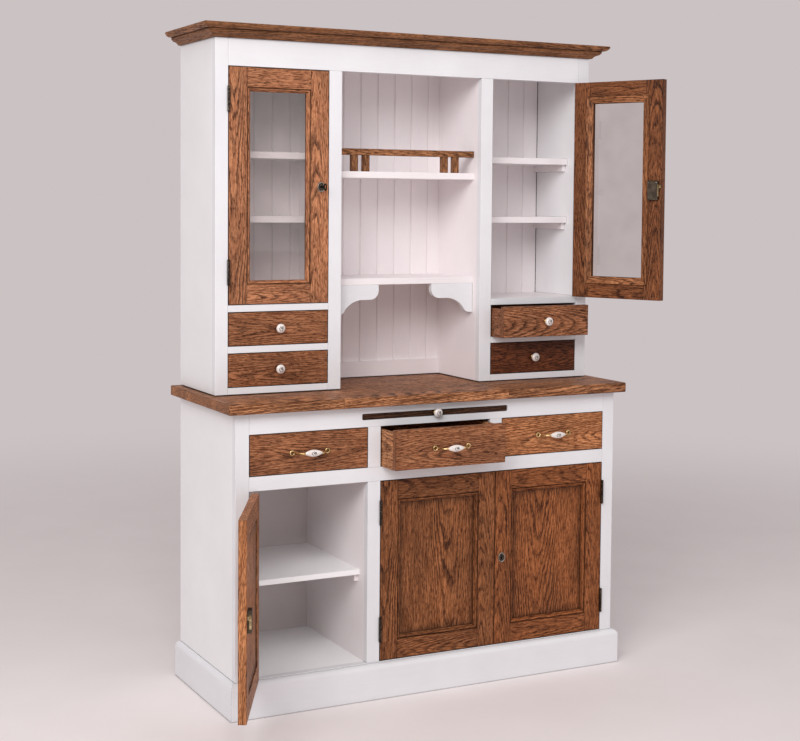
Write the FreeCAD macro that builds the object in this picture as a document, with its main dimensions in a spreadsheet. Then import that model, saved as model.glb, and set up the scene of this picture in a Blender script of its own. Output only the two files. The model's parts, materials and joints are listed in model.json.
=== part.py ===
import FreeCAD, Part
import math
import os
import re

import Sketcher

# A free-standing two-part buffet cabinet. Lengths are in millimetres and angles in degrees.
# The origin lies on the floor under the middle of the carcass: +X is to the right seen from
# the front, the doors face -Y and +Z is up.

SIZES = {
    # base carcass
    "base_width": 1300,
    "base_depth": 475,
    "floor_height": 109,
    "base_door_opening": 547,
    "base_rail_height": 42,
    "large_drawer_opening": 122,
    "base_top_rail_height": 62,
    "base_stile_width": 41.5,
    "base_mullion_width": 41.5,
    "frame_thickness": 24,
    "board_thickness": 20,
    "deck_thickness": 18,
    "back_thickness": 15,
    "back_recess": 13,
    "bearer_thickness": 24,
    # plinth
    "plinth_reveal": 3,
    "plinth_proud": 18,
    "plinth_round": 16,
    # worktop
    "worktop_thickness": 30,
    "worktop_side_overhang": 29,
    "worktop_front_overhang": 30,
    "worktop_back_overhang": 8,
    "worktop_corner": 8,
    "worktop_edge": 3,
    # sliding board in the top rail of the base
    "slide_board_width": 500,
    "slide_board_thickness": 18,
    "slide_board_room": 47,
    "slide_board_recess": 5,
    "slide_board_clearance": 0.5,
    "slide_board_corner": 4,
    "slide_board_lift": 21,
    # hutch carcass
    "hutch_setback": 168,
    "hutch_gap": 3,
    "hutch_rail_height": 20,
    "small_drawer_opening": 102,
    "hutch_door_opening": 701,
    "frieze_height": 81,
    "hutch_stile_width": 40,
    "hutch_mullion_width": 42,
    "pad_radius": 12,
    "pad_margin": 1,
    # back boards of the hutch
    "back_board_pitch": 62,
    "back_board_first": 25.5,
    "back_groove_depth": 4,
    "back_groove_half": 3,
    "back_rail_height": 50,
    "back_rail_thickness": 10,
    # shelves
    "shelf_thickness": 20,
    "base_shelf_thickness": 16,
    "shelf_gap": 0.3,
    "side_shelf_setback": 90,
    "niche_shelf_setback": 45,
    "base_shelf_setback": 52,
    "side_shelf_high_rise": 456,
    "side_shelf_low_rise": 262,
    "gallery_shelf_rise": 401,
    "niche_shelf_rise": 70,
    "base_shelf_rise": 273,
    "cleat_height": 22,
    "cleat_thickness": 12,
    # shaped brackets under the niche shelf
    "bracket_width": 151,
    "bracket_drop": 94,
    "bracket_lip": 18,
    "bracket_nose": 29,
    "bracket_thickness": 18,
    # gallery rail
    "gallery_clear_height": 50,
    "gallery_rail_height": 20,
    "gallery_rail_depth": 17,
    "gallery_post_width": 21,
    "gallery_post_inset": 66,
    "gallery_post_spacing": 39.5,
    # cornice
    "cornice_seat": 20,
    "bed_height": 23,
    "bed_foot": 8,
    "bed_step_out": 20,
    "bed_step_up": 10,
    "bed_reach": 30,
    "bed_fillet": 5,
    "crown_height": 16,
    "crown_foot": 35,
    "crown_reach": 50,
    "crown_arris": 2,
    # doors
    "door_gap": 2,
    "door_thickness": 23,
    "door_member": 58,
    "panel_moulding": 12,
    "panel_moulding_step": 1.5,
    "panel_moulding_fall": 8,
    "panel_depth": 12,
    "panel_thickness": 7,
    "rebate_edge": 47,
    "rebate_depth": 10,
    "glass_thickness": 3,
    "glass_play": 0.5,
    "glass_bead_width": 22,
    "glass_bead_height": 11,
    "glass_bead_lip": 5,
    # hinges
    "hinge_height": 76,
    "hinge_inset": 57,
    "knuckle_radius": 4,
    "knuckle_proud": 4.3,
    "knuckle_play": 0.4,
    "pin_radius": 2,
    "pin_play": 0.1,
    "leaf_thickness": 0.8,
    "leaf_depth": 17,
    # locks
    "lock_width": 36,
    "lock_height": 60,
    "lock_depth": 11,
    "lock_wall": 1.5,
    "lock_inset": 8.5,
    "key_backset": 24,
    "bolt_inset": 1,
    "bolt_length": 30,
    "bolt_height": 9,
    "bolt_thickness": 5,
    "bolt_play": 0.4,
    "key_shank_radius": 2.5,
    "key_hole_radius": 3.3,
    "key_bit_reach": 7,
    "key_bit_length": 4,
    "key_bit_thickness": 2,
    "key_bow_radius": 9,
    "key_bow_wire": 1.8,
    "key_projection": 20,
    "escutcheon_thickness": 1.5,
    "escutcheon_half_height": 15.5,
    "escutcheon_half_width": 12,
    "keyhole_round": 2.7,
    "keyhole_slot": 2.8,
    "keyhole_drop": 8.5,
    # drawers
    "drawer_gap": 2,
    "drawer_front": 20,
    "drawer_side": 12,
    "drawer_bottom": 6,
    "drawer_bottom_lift": 8,
    "drawer_side_drop": 8,
    "drawer_play": 1,
    "drawer_lift": 0.5,
    "large_drawer_room": 47,
    "small_drawer_room": 29,
    "large_drawer_out": 95,
    "small_drawer_out": 78,
    "guide_height": 20,
    # knobs and handles
    "knob_radius": 14,
    "knob_neck": 6,
    "knob_projection": 24,
    "knob_rose_radius": 8.5,
    "knob_rose_thickness": 2.5,
    "handle_centres": 112,
    "handle_reach": 26,
    "handle_ring_radius": 6.5,
    "handle_ring_wire": 2,
    "handle_arm_root": 3,
    "handle_arm_tip": 6,
    "handle_arm_height": 4,
    "handle_arm_curve": 22,
    "grip_half_length": 28,
    "grip_radius": 10.5,
    # one overrun for all cuts
    "overrun": 1,
}

SETTINGS = {
    "knuckle_count": 3,
    "niche_share": 0.3754,
    "upper_right_door_angle": 115.5,
    "lower_left_door_angle": 116.8,
}

PLACES = {
    "front": "-base_depth / 2",
    "rear": "base_depth / 2",
    "frame_back": "front + frame_thickness",
    "back_face": "rear - back_recess - back_thickness",
    "base_side_in": "base_width / 2 - board_thickness",
    "base_bay": "(base_width - 2 * base_stile_width - 2 * base_mullion_width) / 3",
    "base_inner": "base_width / 2 - base_stile_width",
    "mid_bay": "base_bay / 2",
    "mullion_out": "mid_bay + base_mullion_width",
    "door_top": "floor_height + base_door_opening",
    "drawer_low": "door_top + base_rail_height",
    "drawer_high": "drawer_low + large_drawer_opening",
    "base_top": "drawer_high + base_top_rail_height",
    "slot_low": "drawer_high + slide_board_lift - slide_board_clearance",
    "slot_height": "slide_board_thickness + 2 * slide_board_clearance",
    "worktop_top": "base_top + worktop_thickness",
    "hutch_front": "front + hutch_setback",
    "hutch_frame_back": "hutch_front + frame_thickness",
    "hutch_foot": "worktop_top + hutch_gap",
    "hutch_inner": "base_width / 2 - hutch_stile_width",
    "niche_half": "base_width * niche_share / 2",
    "hutch_side_bay": "hutch_inner - niche_half - hutch_mullion_width",
    "hutch_bay_in": "niche_half + hutch_mullion_width",
    "small_low_from": "hutch_foot + hutch_rail_height",
    "small_low_to": "small_low_from + small_drawer_opening",
    "small_high_from": "small_low_to + hutch_rail_height",
    "small_high_to": "small_high_from + small_drawer_opening",
    "hutch_floor": "small_high_to + hutch_rail_height",
    "frieze_low": "hutch_floor + hutch_door_opening",
    "hutch_top": "frieze_low + frieze_height",
    "base_door_single": "base_bay - 2 * door_gap",
    "base_door_pair": "(2 * base_bay + base_mullion_width - 3 * door_gap) / 2",
    "base_door_height": "base_door_opening - 2 * door_gap",
    "base_door_low": "floor_height + door_gap",
    "hutch_door_width": "hutch_side_bay - 2 * door_gap",
    "hutch_door_height": "hutch_door_opening - 2 * door_gap",
    "hutch_door_low": "hutch_floor + door_gap",
    "glass_front": "door_thickness - rebate_depth",
    "bolt_lift": "frame_thickness - door_thickness + bolt_play",
    "base_lock_height": "base_door_low + base_door_height / 2",
    "hutch_lock_height": "hutch_door_low + hutch_door_height / 2",
    "niche_front": "hutch_front + niche_shelf_setback",
    "plinth_height": "floor_height - plinth_reveal",
    "side_shelf_high": "hutch_floor + side_shelf_high_rise",
    "side_shelf_low": "hutch_floor + side_shelf_low_rise",
    "gallery_shelf_top": "hutch_floor + gallery_shelf_rise",
    "niche_shelf_top": "hutch_floor + niche_shelf_rise",
    "base_shelf_top": "floor_height + base_shelf_rise",
    "gallery_post_outer": "niche_half - gallery_post_inset",
    "gallery_post_inner": "gallery_post_outer - gallery_post_spacing",
    "slide_board_front": "front + slide_board_recess",
    "slide_board_depth": "back_face - slide_board_front - slide_board_room",
    "large_drawer_length": "back_face - front - large_drawer_room",
    "small_drawer_length": "back_face - hutch_front - small_drawer_room",
}

HUTCH_BAYS = (("left", ("-hutch_inner", "-hutch_bay_in")), ("right", ("hutch_bay_in", "hutch_inner")))
HUTCH_RAIL_TOPS = (("foot", "small_low_from"), ("middle", "small_high_from"), ("floor", "hutch_floor"))

BRACKET_SHOULDER_SHARE = 0.62
BRACKET_HOLLOW_WIDE_SHARE = 0.2
BRACKET_HOLLOW_DROP_SHARE = 0.91
BRACKET_HOLLOW_ROUND_SHARE = 0.5
BRACKET_CURL_SHARE = 0.04
BRACKET_CURL_ROUND_SHARE = 0.2
# The head of a knob from its waist to its front: shares of its radius and of its projection.
KNOB_HEAD_SHARES = ((0.43, 0.25), (0.72, 0.38), (1, 0.55), (0.96, 0.74), (0.72, 0.92), (0.36, 1))
# Half of a grip from its middle to its end: shares of its half length and of its radius.
GRIP_SHARES = ((0.3, 1), (0.6, 0.82), (0.88, 0.5), (1, 0.28))
# Half the width of each flat of an eight-sided ring, as a share of half its thickness.
RING_FLAT_SHARE = 0.414

doc = FreeCAD.newDocument("buffet_cabinet")
dims = doc.addObject("Spreadsheet::Sheet", "dims")
pieces = []


def fill_sheet():
    """Writes each driving size as a plain number, then the places worked out from them."""
    row = 0
    for alias, amount in (SIZES | SETTINGS).items():
        row += 1
        dims.set(f"A{row}", alias)
        dims.set(f"B{row}", str(amount))
        dims.setAlias(f"B{row}", alias)
    for alias, formula in PLACES.items():
        row += 1
        dims.set(f"A{row}", alias)
        dims.set(f"B{row}", "=" + formula)
        dims.setAlias(f"B{row}", alias)
    doc.recompute()


def sheet_terms(text):
    """Points each size name in a formula at its cell."""
    known = set(SIZES) | set(SETTINGS) | set(PLACES)

    def cell(match):
        word = match.group(0)
        return "dims." + word if word in known else word

    return re.sub(r"[a-z][a-z_]*", cell, str(text))


def bind(thing, prop, text):
    """Ties one property to a formula of the sheet's sizes."""
    thing.setExpression(prop, sheet_terms(text))


def amount(text):
    """The present value of a formula, in millimetres or degrees."""
    return float(dims.evalExpression(sheet_terms(text)))


def turn(axis, angle):
    return FreeCAD.Rotation(FreeCAD.Vector(*axis), angle)


UPRIGHT = turn((1, 0, 0), 90)


def put(thing, x=0, y=0, z=0):
    """Ties the place of a thing to the sheet and keeps how it is turned."""
    for axis, text in (("x", x), ("y", y), ("z", z)):
        bind(thing, f"Placement.Base.{axis}", text)
    return thing


def board(name, x, y, z):
    """A rectangular board between two limits on each axis."""
    box = doc.addObject("Part::Box", name)
    for prop, (low, high) in (("Length", x), ("Width", y), ("Height", z)):
        bind(box, prop, f"({high}) - ({low})")
    return put(box, x[0], y[0], z[0])


def rod(name, radius, height, x, y, z, rotation=None):
    """A round rod that starts at a point and runs along its turned Z axis."""
    cylinder = doc.addObject("Part::Cylinder", name)
    bind(cylinder, "Radius", radius)
    bind(cylinder, "Height", height)
    if rotation:
        cylinder.Placement = FreeCAD.Placement(FreeCAD.Vector(), rotation)
    return put(cylinder, x, y, z)


def joined(name, parts):
    fuse = doc.addObject("Part::MultiFuse", name)
    fuse.Shapes = parts
    return fuse


def cut(name, base, tools):
    """Takes one tool or more away from a base."""
    tool = tools[0] if len(tools) == 1 else joined(name + "_tool", tools)
    hollow = doc.addObject("Part::Cut", name)
    hollow.Base = base
    hollow.Tool = tool
    return hollow


def piece(label, parts, x=0, y=0, z=0, angle=None):
    """One named sub-part: a solid, or a set of separate solids that belong together."""
    if len(parts) == 1 and angle is None and (x, y, z) == (0, 0, 0):
        thing = parts[0]
    else:
        thing = doc.addObject("Part::Compound", label + "_set")
        thing.Links = parts
        if angle is not None:
            thing.Placement = FreeCAD.Placement(FreeCAD.Vector(), turn((0, 0, 1), 1))
            bind(thing, "Placement.Rotation.Angle", angle)
        put(thing, x, y, z)
    thing.Label = label
    pieces.append(thing)
    return thing


def plane_of(body, role):
    return [part for part in body.Origin.OriginFeatures if part.Role == role][0]


def outline(body, name, role, loops):
    """A sketch of closed loops. Each corner is (x, y) or (x, y, radius of the arc that follows).

    A positive radius turns to the left and a negative one to the right.
    """
    sketch = body.newObject("Sketcher::SketchObject", name)
    sketch.AttachmentSupport = [(plane_of(body, role), "")]
    sketch.MapMode = "FlatFace"
    for corners in loops:
        first = sketch.GeometryCount
        ends = []
        count = len(corners)
        for place, corner in enumerate(corners):
            following = corners[(place + 1) % count]
            start = FreeCAD.Vector(amount(corner[0]), amount(corner[1]), 0)
            end = FreeCAD.Vector(amount(following[0]), amount(following[1]), 0)
            if len(corner) == 2:
                sketch.addGeometry(Part.LineSegment(start, end))
                ends.append((1, 2))
                continue
            radius = amount(corner[2])
            chord = end - start
            aside = FreeCAD.Vector(-chord.y, chord.x, 0).normalize()
            rise = math.sqrt(max(radius * radius - chord.Length ** 2 / 4, 0))
            side = 1 if radius > 0 else -1
            centre = (start + end) / 2 + aside * rise * side
            circle = Part.Circle(centre, FreeCAD.Vector(0, 0, 1), abs(radius))
            low, high = (start, end) if side > 0 else (end, start)
            from_angle = math.atan2(low.y - centre.y, low.x - centre.x)
            to_angle = math.atan2(high.y - centre.y, high.x - centre.x)
            if to_angle <= from_angle:
                to_angle += 2 * math.pi
            sketch.addGeometry(Part.ArcOfCircle(circle, from_angle, to_angle))
            ends.append((1, 2) if side > 0 else (2, 1))
        for place, corner in enumerate(corners):
            here = first + place
            onward = first + (place + 1) % count
            sketch.addConstraint(
                Sketcher.Constraint("Coincident", here, ends[place][1], onward, ends[(place + 1) % count][0])
            )
            for kind, text in (("DistanceX", corner[0]), ("DistanceY", corner[1])):
                index = sketch.addConstraint(
                    Sketcher.Constraint(kind, here, ends[place][0], amount(text))
                )
                bind(sketch, f"Constraints[{index}]", text)
            if len(corner) == 3:
                index = sketch.addConstraint(Sketcher.Constraint("Radius", here, abs(amount(corner[2]))))
                bind(sketch, f"Constraints[{index}]", f"abs({corner[2]})")
    return sketch


def padded(name, role, loops, length, backwards=False):
    """A body whose outline is drawn on one plane and pushed out square to it."""
    body = doc.addObject("PartDesign::Body", name)
    sketch = outline(body, name + "_outline", role, loops)
    pad = body.newObject("PartDesign::Pad", name + "_pad")
    pad.Profile = sketch
    pad.Reversed = backwards
    bind(pad, "Length", length)
    return body


def turned(name, corners, rotation=None):
    """A body turned about its own Z axis from half of its outline."""
    body = doc.addObject("PartDesign::Body", name)
    sketch = outline(body, name + "_outline", "XZ_Plane", [corners])
    round_form = body.newObject("PartDesign::Revolution", name + "_turning")
    round_form.Profile = sketch
    round_form.ReferenceAxis = (sketch, ["V_Axis"])
    round_form.Angle = 360
    if rotation:
        body.Placement = FreeCAD.Placement(FreeCAD.Vector(), rotation)
    return body


def ring(name, radius, wire, rotation):
    """A ring of eight-sided section round its own Z axis."""
    flat = f"{RING_FLAT_SHARE} * {wire}"
    inside, outside = f"{radius} - {wire}", f"{radius} + {wire}"
    near, away = f"{radius} - {flat}", f"{radius} + {flat}"
    corners = [
        (near, f"-{wire}"), (away, f"-{wire}"), (outside, f"-{flat}"), (outside, flat),
        (away, wire), (near, wire), (inside, flat), (inside, f"-{flat}"),
    ]
    return turned(name, corners, rotation)


def mitred_stick(name, profile, reach, length, cuts, rotation=None):
    """A moulding along X with its profile in (outwards, up). The ends named in cuts are mitred.

    Its length is measured at the carcass face; a mitred end grows outwards by its reach.
    """
    body = doc.addObject("PartDesign::Body", name)
    section = [(f"-({corner[0]})",) + tuple(corner[1:]) for corner in profile]
    sketch = outline(body, name + "_profile", "YZ_Plane", [section])
    pad = body.newObject("PartDesign::Pad", name + "_pad")
    pad.Profile = sketch
    pad.SideType = "Symmetric"
    bind(pad, "Length", f"{length} + 2 * ({reach})")
    loops = []
    for side in (-1, 1):
        half = f"{side} * ({length}) / 2"
        far = f"{side} * (({length}) / 2 + ({reach}) + overrun)"
        if side in cuts:
            loops.append([
                (f"{half} - {side} * (cornice_seat + overrun)", "cornice_seat + overrun"),
                (far, f"-(({reach}) + overrun)"),
                (far, "cornice_seat + overrun"),
            ])
        else:
            loops.append([
                (half, f"-(({reach}) + overrun)"),
                (far, f"-(({reach}) + overrun)"),
                (far, "cornice_seat + overrun"),
                (half, "cornice_seat + overrun"),
            ])
    mitre = outline(body, name + "_mitre", "XY_Plane", loops)
    pocket = body.newObject("PartDesign::Pocket", name + "_ends")
    pocket.Profile = mitre
    pocket.Type = "ThroughAll"
    pocket.Reversed = True
    if rotation:
        body.Placement = FreeCAD.Placement(FreeCAD.Vector(), rotation)
    return body


def round_edges(body, name, radius, chosen):
    """Rounds the edges of a body that a test picks."""
    doc.recompute()
    base = body.Tip
    names = [f"Edge{n + 1}" for n, edge in enumerate(base.Shape.Edges) if chosen(edge)]
    fillet = body.newObject("PartDesign::Fillet", name)
    fillet.Base = (base, names)
    bind(fillet, "Radius", radius)
    return body


def mitred_ring(name, x, y, z, width, height, inward, outer, inner):
    """Four sticks with mitred corners round the inside of a door frame.

    inward is the band from the door's edge, and outer and inner are each stick's depths
    behind the door's face at the two sides of that band.
    """
    sticks = []
    near, far = inward
    corners = (
        ("foot", width, 0, x, z),
        ("right", height, -90, f"({x}) + ({width})", z),
        ("head", width, 180, f"({x}) + ({width})", f"({z}) + ({height})"),
        ("left", height, 90, x, f"({z}) + ({height})"),
    )
    for side, length, angle, corner_x, corner_z in corners:
        stick = doc.addObject("Part::Wedge", f"{name}_{side}")
        stick.Placement = FreeCAD.Placement(FreeCAD.Vector(), turn((0, 1, 0), angle).multiply(UPRIGHT))
        values = {
            "Ymin": near,
            "Ymax": far,
            "Xmin": near,
            "Xmax": f"({length}) - ({near})",
            "X2min": far,
            "X2max": f"({length}) - ({far})",
            "Zmin": f"-({outer[1]})",
            "Zmax": f"-({outer[0]})",
            "Z2min": f"-({inner[1]})",
            "Z2max": f"-({inner[0]})",
        }
        # the far sides go first, so that no limit passes its opposite on the way
        for prop, text in values.items():
            setattr(stick, prop, amount(text))
        for prop, text in values.items():
            bind(stick, prop, text)
        sticks.append(put(stick, corner_x, y, corner_z))
    return sticks


def build_plinth():
    """Applied skirting with a rounded top, mitred at the front corners, and its inner bearers."""
    profile = [
        (0, 0),
        ("plinth_proud", 0),
        ("plinth_proud", "plinth_height - plinth_round", "-plinth_round"),
        ("plinth_proud - plinth_round", "plinth_height"),
        (0, "plinth_height"),
    ]
    front_stick = mitred_stick("plinth_front", profile, "plinth_proud", "base_width", (-1, 1))
    put(front_stick, 0, "front", 0)
    left = mitred_stick("plinth_left", profile, "plinth_proud", "base_depth", (1,), turn((0, 0, 1), -90))
    put(left, "-base_width / 2", 0, 0)
    right = mitred_stick("plinth_right", profile, "plinth_proud", "base_depth", (-1,), turn((0, 0, 1), 90))
    put(right, "base_width / 2", 0, 0)
    bearer = board(
        "plinth_bearer",
        ("-bearer_thickness / 2", "bearer_thickness / 2"),
        ("frame_back", "back_face"),
        (0, "floor_height - deck_thickness"),
    )
    back = board(
        "plinth_back",
        ("-base_side_in", "base_side_in"),
        ("back_face", "back_face + back_thickness"),
        (0, "floor_height - deck_thickness"),
    )
    piece("plinth", [front_stick, left, right, bearer, back])


def build_base_carcass():
    sides = []
    for side, low, high in (
        ("left", "-base_width / 2", "-base_side_in"),
        ("right", "base_side_in", "base_width / 2"),
    ):
        sides.append(board(f"base_side_{side}", (low, high), ("frame_back", "rear"), (0, "base_top")))
    piece("base_sides", sides)
    floor = board(
        "base_floor",
        ("-base_side_in", "base_side_in"),
        ("frame_back", "back_face"),
        ("floor_height - deck_thickness", "floor_height"),
    )
    piece("base_floor_board", [floor])
    back = board(
        "base_back",
        ("-base_side_in", "base_side_in"),
        ("back_face", "back_face + back_thickness"),
        ("floor_height - deck_thickness", "base_top"),
    )
    piece("base_back_panel", [back])
    partition = board(
        "base_partition",
        ("-mullion_out", "-mullion_out + board_thickness"),
        ("frame_back", "back_face"),
        ("floor_height", "drawer_low - deck_thickness"),
    )
    deck = board(
        "base_deck",
        ("-base_side_in", "base_side_in"),
        ("frame_back", "back_face"),
        ("drawer_low - deck_thickness", "drawer_low"),
    )
    dividers = [partition, deck]
    for side, middle in (
        ("left", "-(mid_bay + base_mullion_width / 2)"),
        ("right", "mid_bay + base_mullion_width / 2"),
    ):
        dividers.append(board(
            f"drawer_divider_{side}",
            (f"{middle} - board_thickness / 2", f"{middle} + board_thickness / 2"),
            ("frame_back", "back_face"),
            ("drawer_low", "drawer_high"),
        ))
    piece("base_dividers", dividers)


def slide_outline(half_width, low, high, corner):
    """The long outline with rounded corners that the sliding board and its slot share."""
    inner = f"(({half_width}) - ({corner}))"
    under = f"(({low}) + ({corner}))"
    over = f"(({high}) - ({corner}))"
    return [
        (f"-{inner}", low),
        (inner, low, corner),
        (half_width, under),
        (half_width, over, corner),
        (inner, high),
        (f"-{inner}", high, corner),
        (f"-({half_width})", over),
        (f"-({half_width})", under, corner),
    ]


def build_base_frame():
    """Stiles, rails and mullions of the base, butted face to face, with the slot in the top rail."""
    depth = ("front", "frame_back")
    drawer_level = ("drawer_low", "drawer_high")
    parts = [
        board("base_stile_left", ("-base_width / 2", "-base_inner"), depth, (0, "base_top")),
        board("base_stile_right", ("base_inner", "base_width / 2"), depth, (0, "base_top")),
        board("base_foot_rail", ("-base_inner", "base_inner"), depth, (0, "floor_height")),
        board("base_drawer_rail", ("-base_inner", "base_inner"), depth, ("door_top", "drawer_low")),
        board("base_door_mullion", ("-mullion_out", "-mid_bay"), depth, ("floor_height", "door_top")),
        board("base_drawer_mullion_left", ("-mullion_out", "-mid_bay"), depth, drawer_level),
        board("base_drawer_mullion_right", ("mid_bay", "mullion_out"), depth, drawer_level),
    ]
    rail = [
        ("-base_inner", "drawer_high"),
        ("base_inner", "drawer_high"),
        ("base_inner", "base_top"),
        ("-base_inner", "base_top"),
    ]
    slot = slide_outline(
        "slide_board_width / 2 + slide_board_clearance",
        "slot_low",
        "slot_low + slot_height",
        "slide_board_corner + slide_board_clearance",
    )
    top_rail = padded("base_top_rail", "XZ_Plane", [rail, slot], "frame_thickness", True)
    put(top_rail, 0, "front", 0)
    piece("base_face_frame", parts + [top_rail])


def build_base_shelves():
    depth = ("front + base_shelf_setback", "back_face")
    height = ("base_shelf_top - base_shelf_thickness", "base_shelf_top")
    left = board(
        "base_shelf_left",
        ("-base_side_in + shelf_gap", "-mullion_out - shelf_gap"),
        depth,
        height,
    )
    right = board(
        "base_shelf_right",
        ("-mullion_out + board_thickness + shelf_gap", "base_side_in - shelf_gap"),
        depth,
        height,
    )
    piece("base_shelves", [left, right])


def build_cleats():
    """Bearers under the ends of the loose shelves and under the niche shelves."""
    cleats = []
    base_walls = ("-base_side_in", "-mullion_out", "-mullion_out + board_thickness", "base_side_in")
    partition_out = "niche_half + board_thickness"
    side_walls = ("-base_side_in", f"-({partition_out})", partition_out, "base_side_in")
    base_start = "front + base_shelf_setback + cleat_thickness"
    side_start = "hutch_front + side_shelf_setback + cleat_thickness"
    runs = [
        ("base", base_walls, "base_shelf_top - base_shelf_thickness", base_start),
        ("high", side_walls, "side_shelf_high - shelf_thickness", side_start),
        ("low", side_walls, "side_shelf_low - shelf_thickness", side_start),
    ]
    for level, walls, under, start in runs:
        for place, wall in enumerate(walls):
            limits = (wall, f"{wall} + cleat_thickness")
            if place in (1, 3):
                limits = (f"{wall} - cleat_thickness", wall)
            cleats.append(board(
                f"cleat_{level}_{place}",
                limits,
                (start, "back_face"),
                (f"{under} - cleat_height", under),
            ))
    piece("shelf_cleats", cleats)


def build_guides():
    """Strips that guide the drawers sideways, and the channels of the sliding board."""
    guides = []
    run = ("frame_back", "back_face")
    spans = [
        ("-base_side_in", "-base_inner"),
        ("-mullion_out", "-(mid_bay + base_mullion_width / 2) - board_thickness / 2"),
        ("-(mid_bay + base_mullion_width / 2) + board_thickness / 2", "-mid_bay"),
        ("mid_bay", "mid_bay + base_mullion_width / 2 - board_thickness / 2"),
        ("mid_bay + base_mullion_width / 2 + board_thickness / 2", "mullion_out"),
        ("base_inner", "base_side_in"),
    ]
    for place, span in enumerate(spans):
        guides.append(board(f"guide_large_{place}", span, run, ("drawer_low", "drawer_low + guide_height")))
    hutch_run = ("hutch_frame_back", "back_face")
    hutch_spans = [
        ("-base_side_in", "-hutch_inner"),
        ("-hutch_bay_in", "-niche_half - board_thickness"),
        ("niche_half + board_thickness", "hutch_bay_in"),
        ("hutch_inner", "base_side_in"),
    ]
    for level in ("small_low_from", "small_high_from"):
        for place, span in enumerate(hutch_spans):
            guides.append(board(
                f"guide_{level}_{place}", span, hutch_run, (level, f"{level} + guide_height")
            ))
    board_edge = "slide_board_width / 2"
    for name, side in (("left", -1), ("right", 1)):
        bands = (
            ("under", f"{board_edge} - guide_height", f"{board_edge} + guide_height",
             "drawer_high", "slot_low"),
            ("beside", f"{board_edge} + slide_board_clearance", f"{board_edge} + guide_height",
             "slot_low", "slot_low + slot_height"),
            ("over", f"{board_edge} - guide_height", f"{board_edge} + guide_height",
             "slot_low + slot_height", "base_top"),
        )
        for band, near, far, low, high in bands:
            limits = (near, far) if side > 0 else (f"-({far})", f"-({near})")
            guides.append(board(f"channel_{band}_{name}", limits, run, (low, high)))
    piece("drawer_guides", guides)


def build_worktop():
    half = "base_width / 2 + worktop_side_overhang"
    near = "front - worktop_front_overhang"
    far = "rear + worktop_back_overhang"
    slab = [(f"-({half})", near), (half, near), (half, far), (f"-({half})", far)]
    body = padded("worktop_slab", "XY_Plane", [slab], "worktop_thickness")
    round_edges(body, "worktop_corners", "worktop_corner", front_corner)
    round_edges(body, "worktop_arrises", "worktop_edge", long_arris)
    put(body, 0, 0, "base_top")
    piece("worktop", [body])


def front_corner(edge):
    low, high = edge.BoundBox.ZMin, edge.BoundBox.ZMax
    return high - low > amount("worktop_thickness") / 2 and edge.BoundBox.YMax < 0


def long_arris(edge):
    flat = edge.BoundBox.ZMax - edge.BoundBox.ZMin < amount("worktop_edge")
    return flat and edge.BoundBox.YMin < amount("rear")


def build_hutch_carcass():
    depth = ("hutch_frame_back", "rear")
    sides = [
        board("hutch_side_left", ("-base_width / 2", "-base_side_in"), depth, ("hutch_foot", "hutch_top")),
        board("hutch_side_right", ("base_side_in", "base_width / 2"), depth, ("hutch_foot", "hutch_top")),
    ]
    piece("hutch_sides", sides)
    inner_depth = ("hutch_frame_back", "back_face")
    height = ("hutch_foot", "hutch_top - board_thickness")
    partitions = [
        board("hutch_partition_left", ("-niche_half - board_thickness", "-niche_half"), inner_depth, height),
        board("hutch_partition_right", ("niche_half", "niche_half + board_thickness"), inner_depth, height),
    ]
    piece("hutch_partitions", partitions)
    decks = [board(
        "hutch_top_board",
        ("-base_side_in", "base_side_in"),
        ("hutch_frame_back", "back_face"),
        ("hutch_top - board_thickness", "hutch_top"),
    )]
    for side, span in (
        ("left", ("-base_side_in", "-niche_half - board_thickness")),
        ("right", ("niche_half + board_thickness", "base_side_in")),
    ):
        for name, top in HUTCH_RAIL_TOPS:
            decks.append(board(
                f"hutch_deck_{name}_{side}", span, inner_depth, (f"{top} - hutch_rail_height", top)
            ))
    piece("hutch_decks", decks)
    spots = []
    for x in ("-base_width / 2 + hutch_stile_width / 2", "0 - niche_half - hutch_mullion_width / 2",
              "niche_half + hutch_mullion_width / 2", "base_width / 2 - hutch_stile_width / 2"):
        spots.append((x, "hutch_front + pad_radius + pad_margin"))
    for x in ("-(base_side_in + board_thickness / 2)", "base_side_in + board_thickness / 2"):
        spots.append((x, "rear - 2 * pad_radius"))
    pads = []
    for place, (x, y) in enumerate(spots):
        radius = "pad_radius" if place < 4 else "board_thickness / 2 - pad_margin"
        pads.append(rod(f"hutch_pad_{place}", radius, "hutch_gap", x, y, "worktop_top"))
    piece("hutch_pads", pads)


def build_hutch_frame():
    """Stiles, mullions, frieze and rails of the hutch, butted face to face."""
    depth = ("hutch_front", "hutch_frame_back")
    parts = [
        board("hutch_stile_left", ("-base_width / 2", "-hutch_inner"), depth, ("hutch_foot", "hutch_top")),
        board("hutch_stile_right", ("hutch_inner", "base_width / 2"), depth, ("hutch_foot", "hutch_top")),
        board("hutch_mullion_left", ("-hutch_bay_in", "-niche_half"), depth, ("hutch_foot", "frieze_low")),
        board("hutch_mullion_right", ("niche_half", "hutch_bay_in"), depth, ("hutch_foot", "frieze_low")),
        board("hutch_frieze", ("-hutch_inner", "hutch_inner"), depth, ("frieze_low", "hutch_top")),
    ]
    for side, span in HUTCH_BAYS:
        for name, top in HUTCH_RAIL_TOPS:
            height = (f"{top} - hutch_rail_height", top)
            parts.append(board(f"hutch_rail_{name}_{side}", span, depth, height))
    piece("hutch_face_frame", parts)


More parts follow.
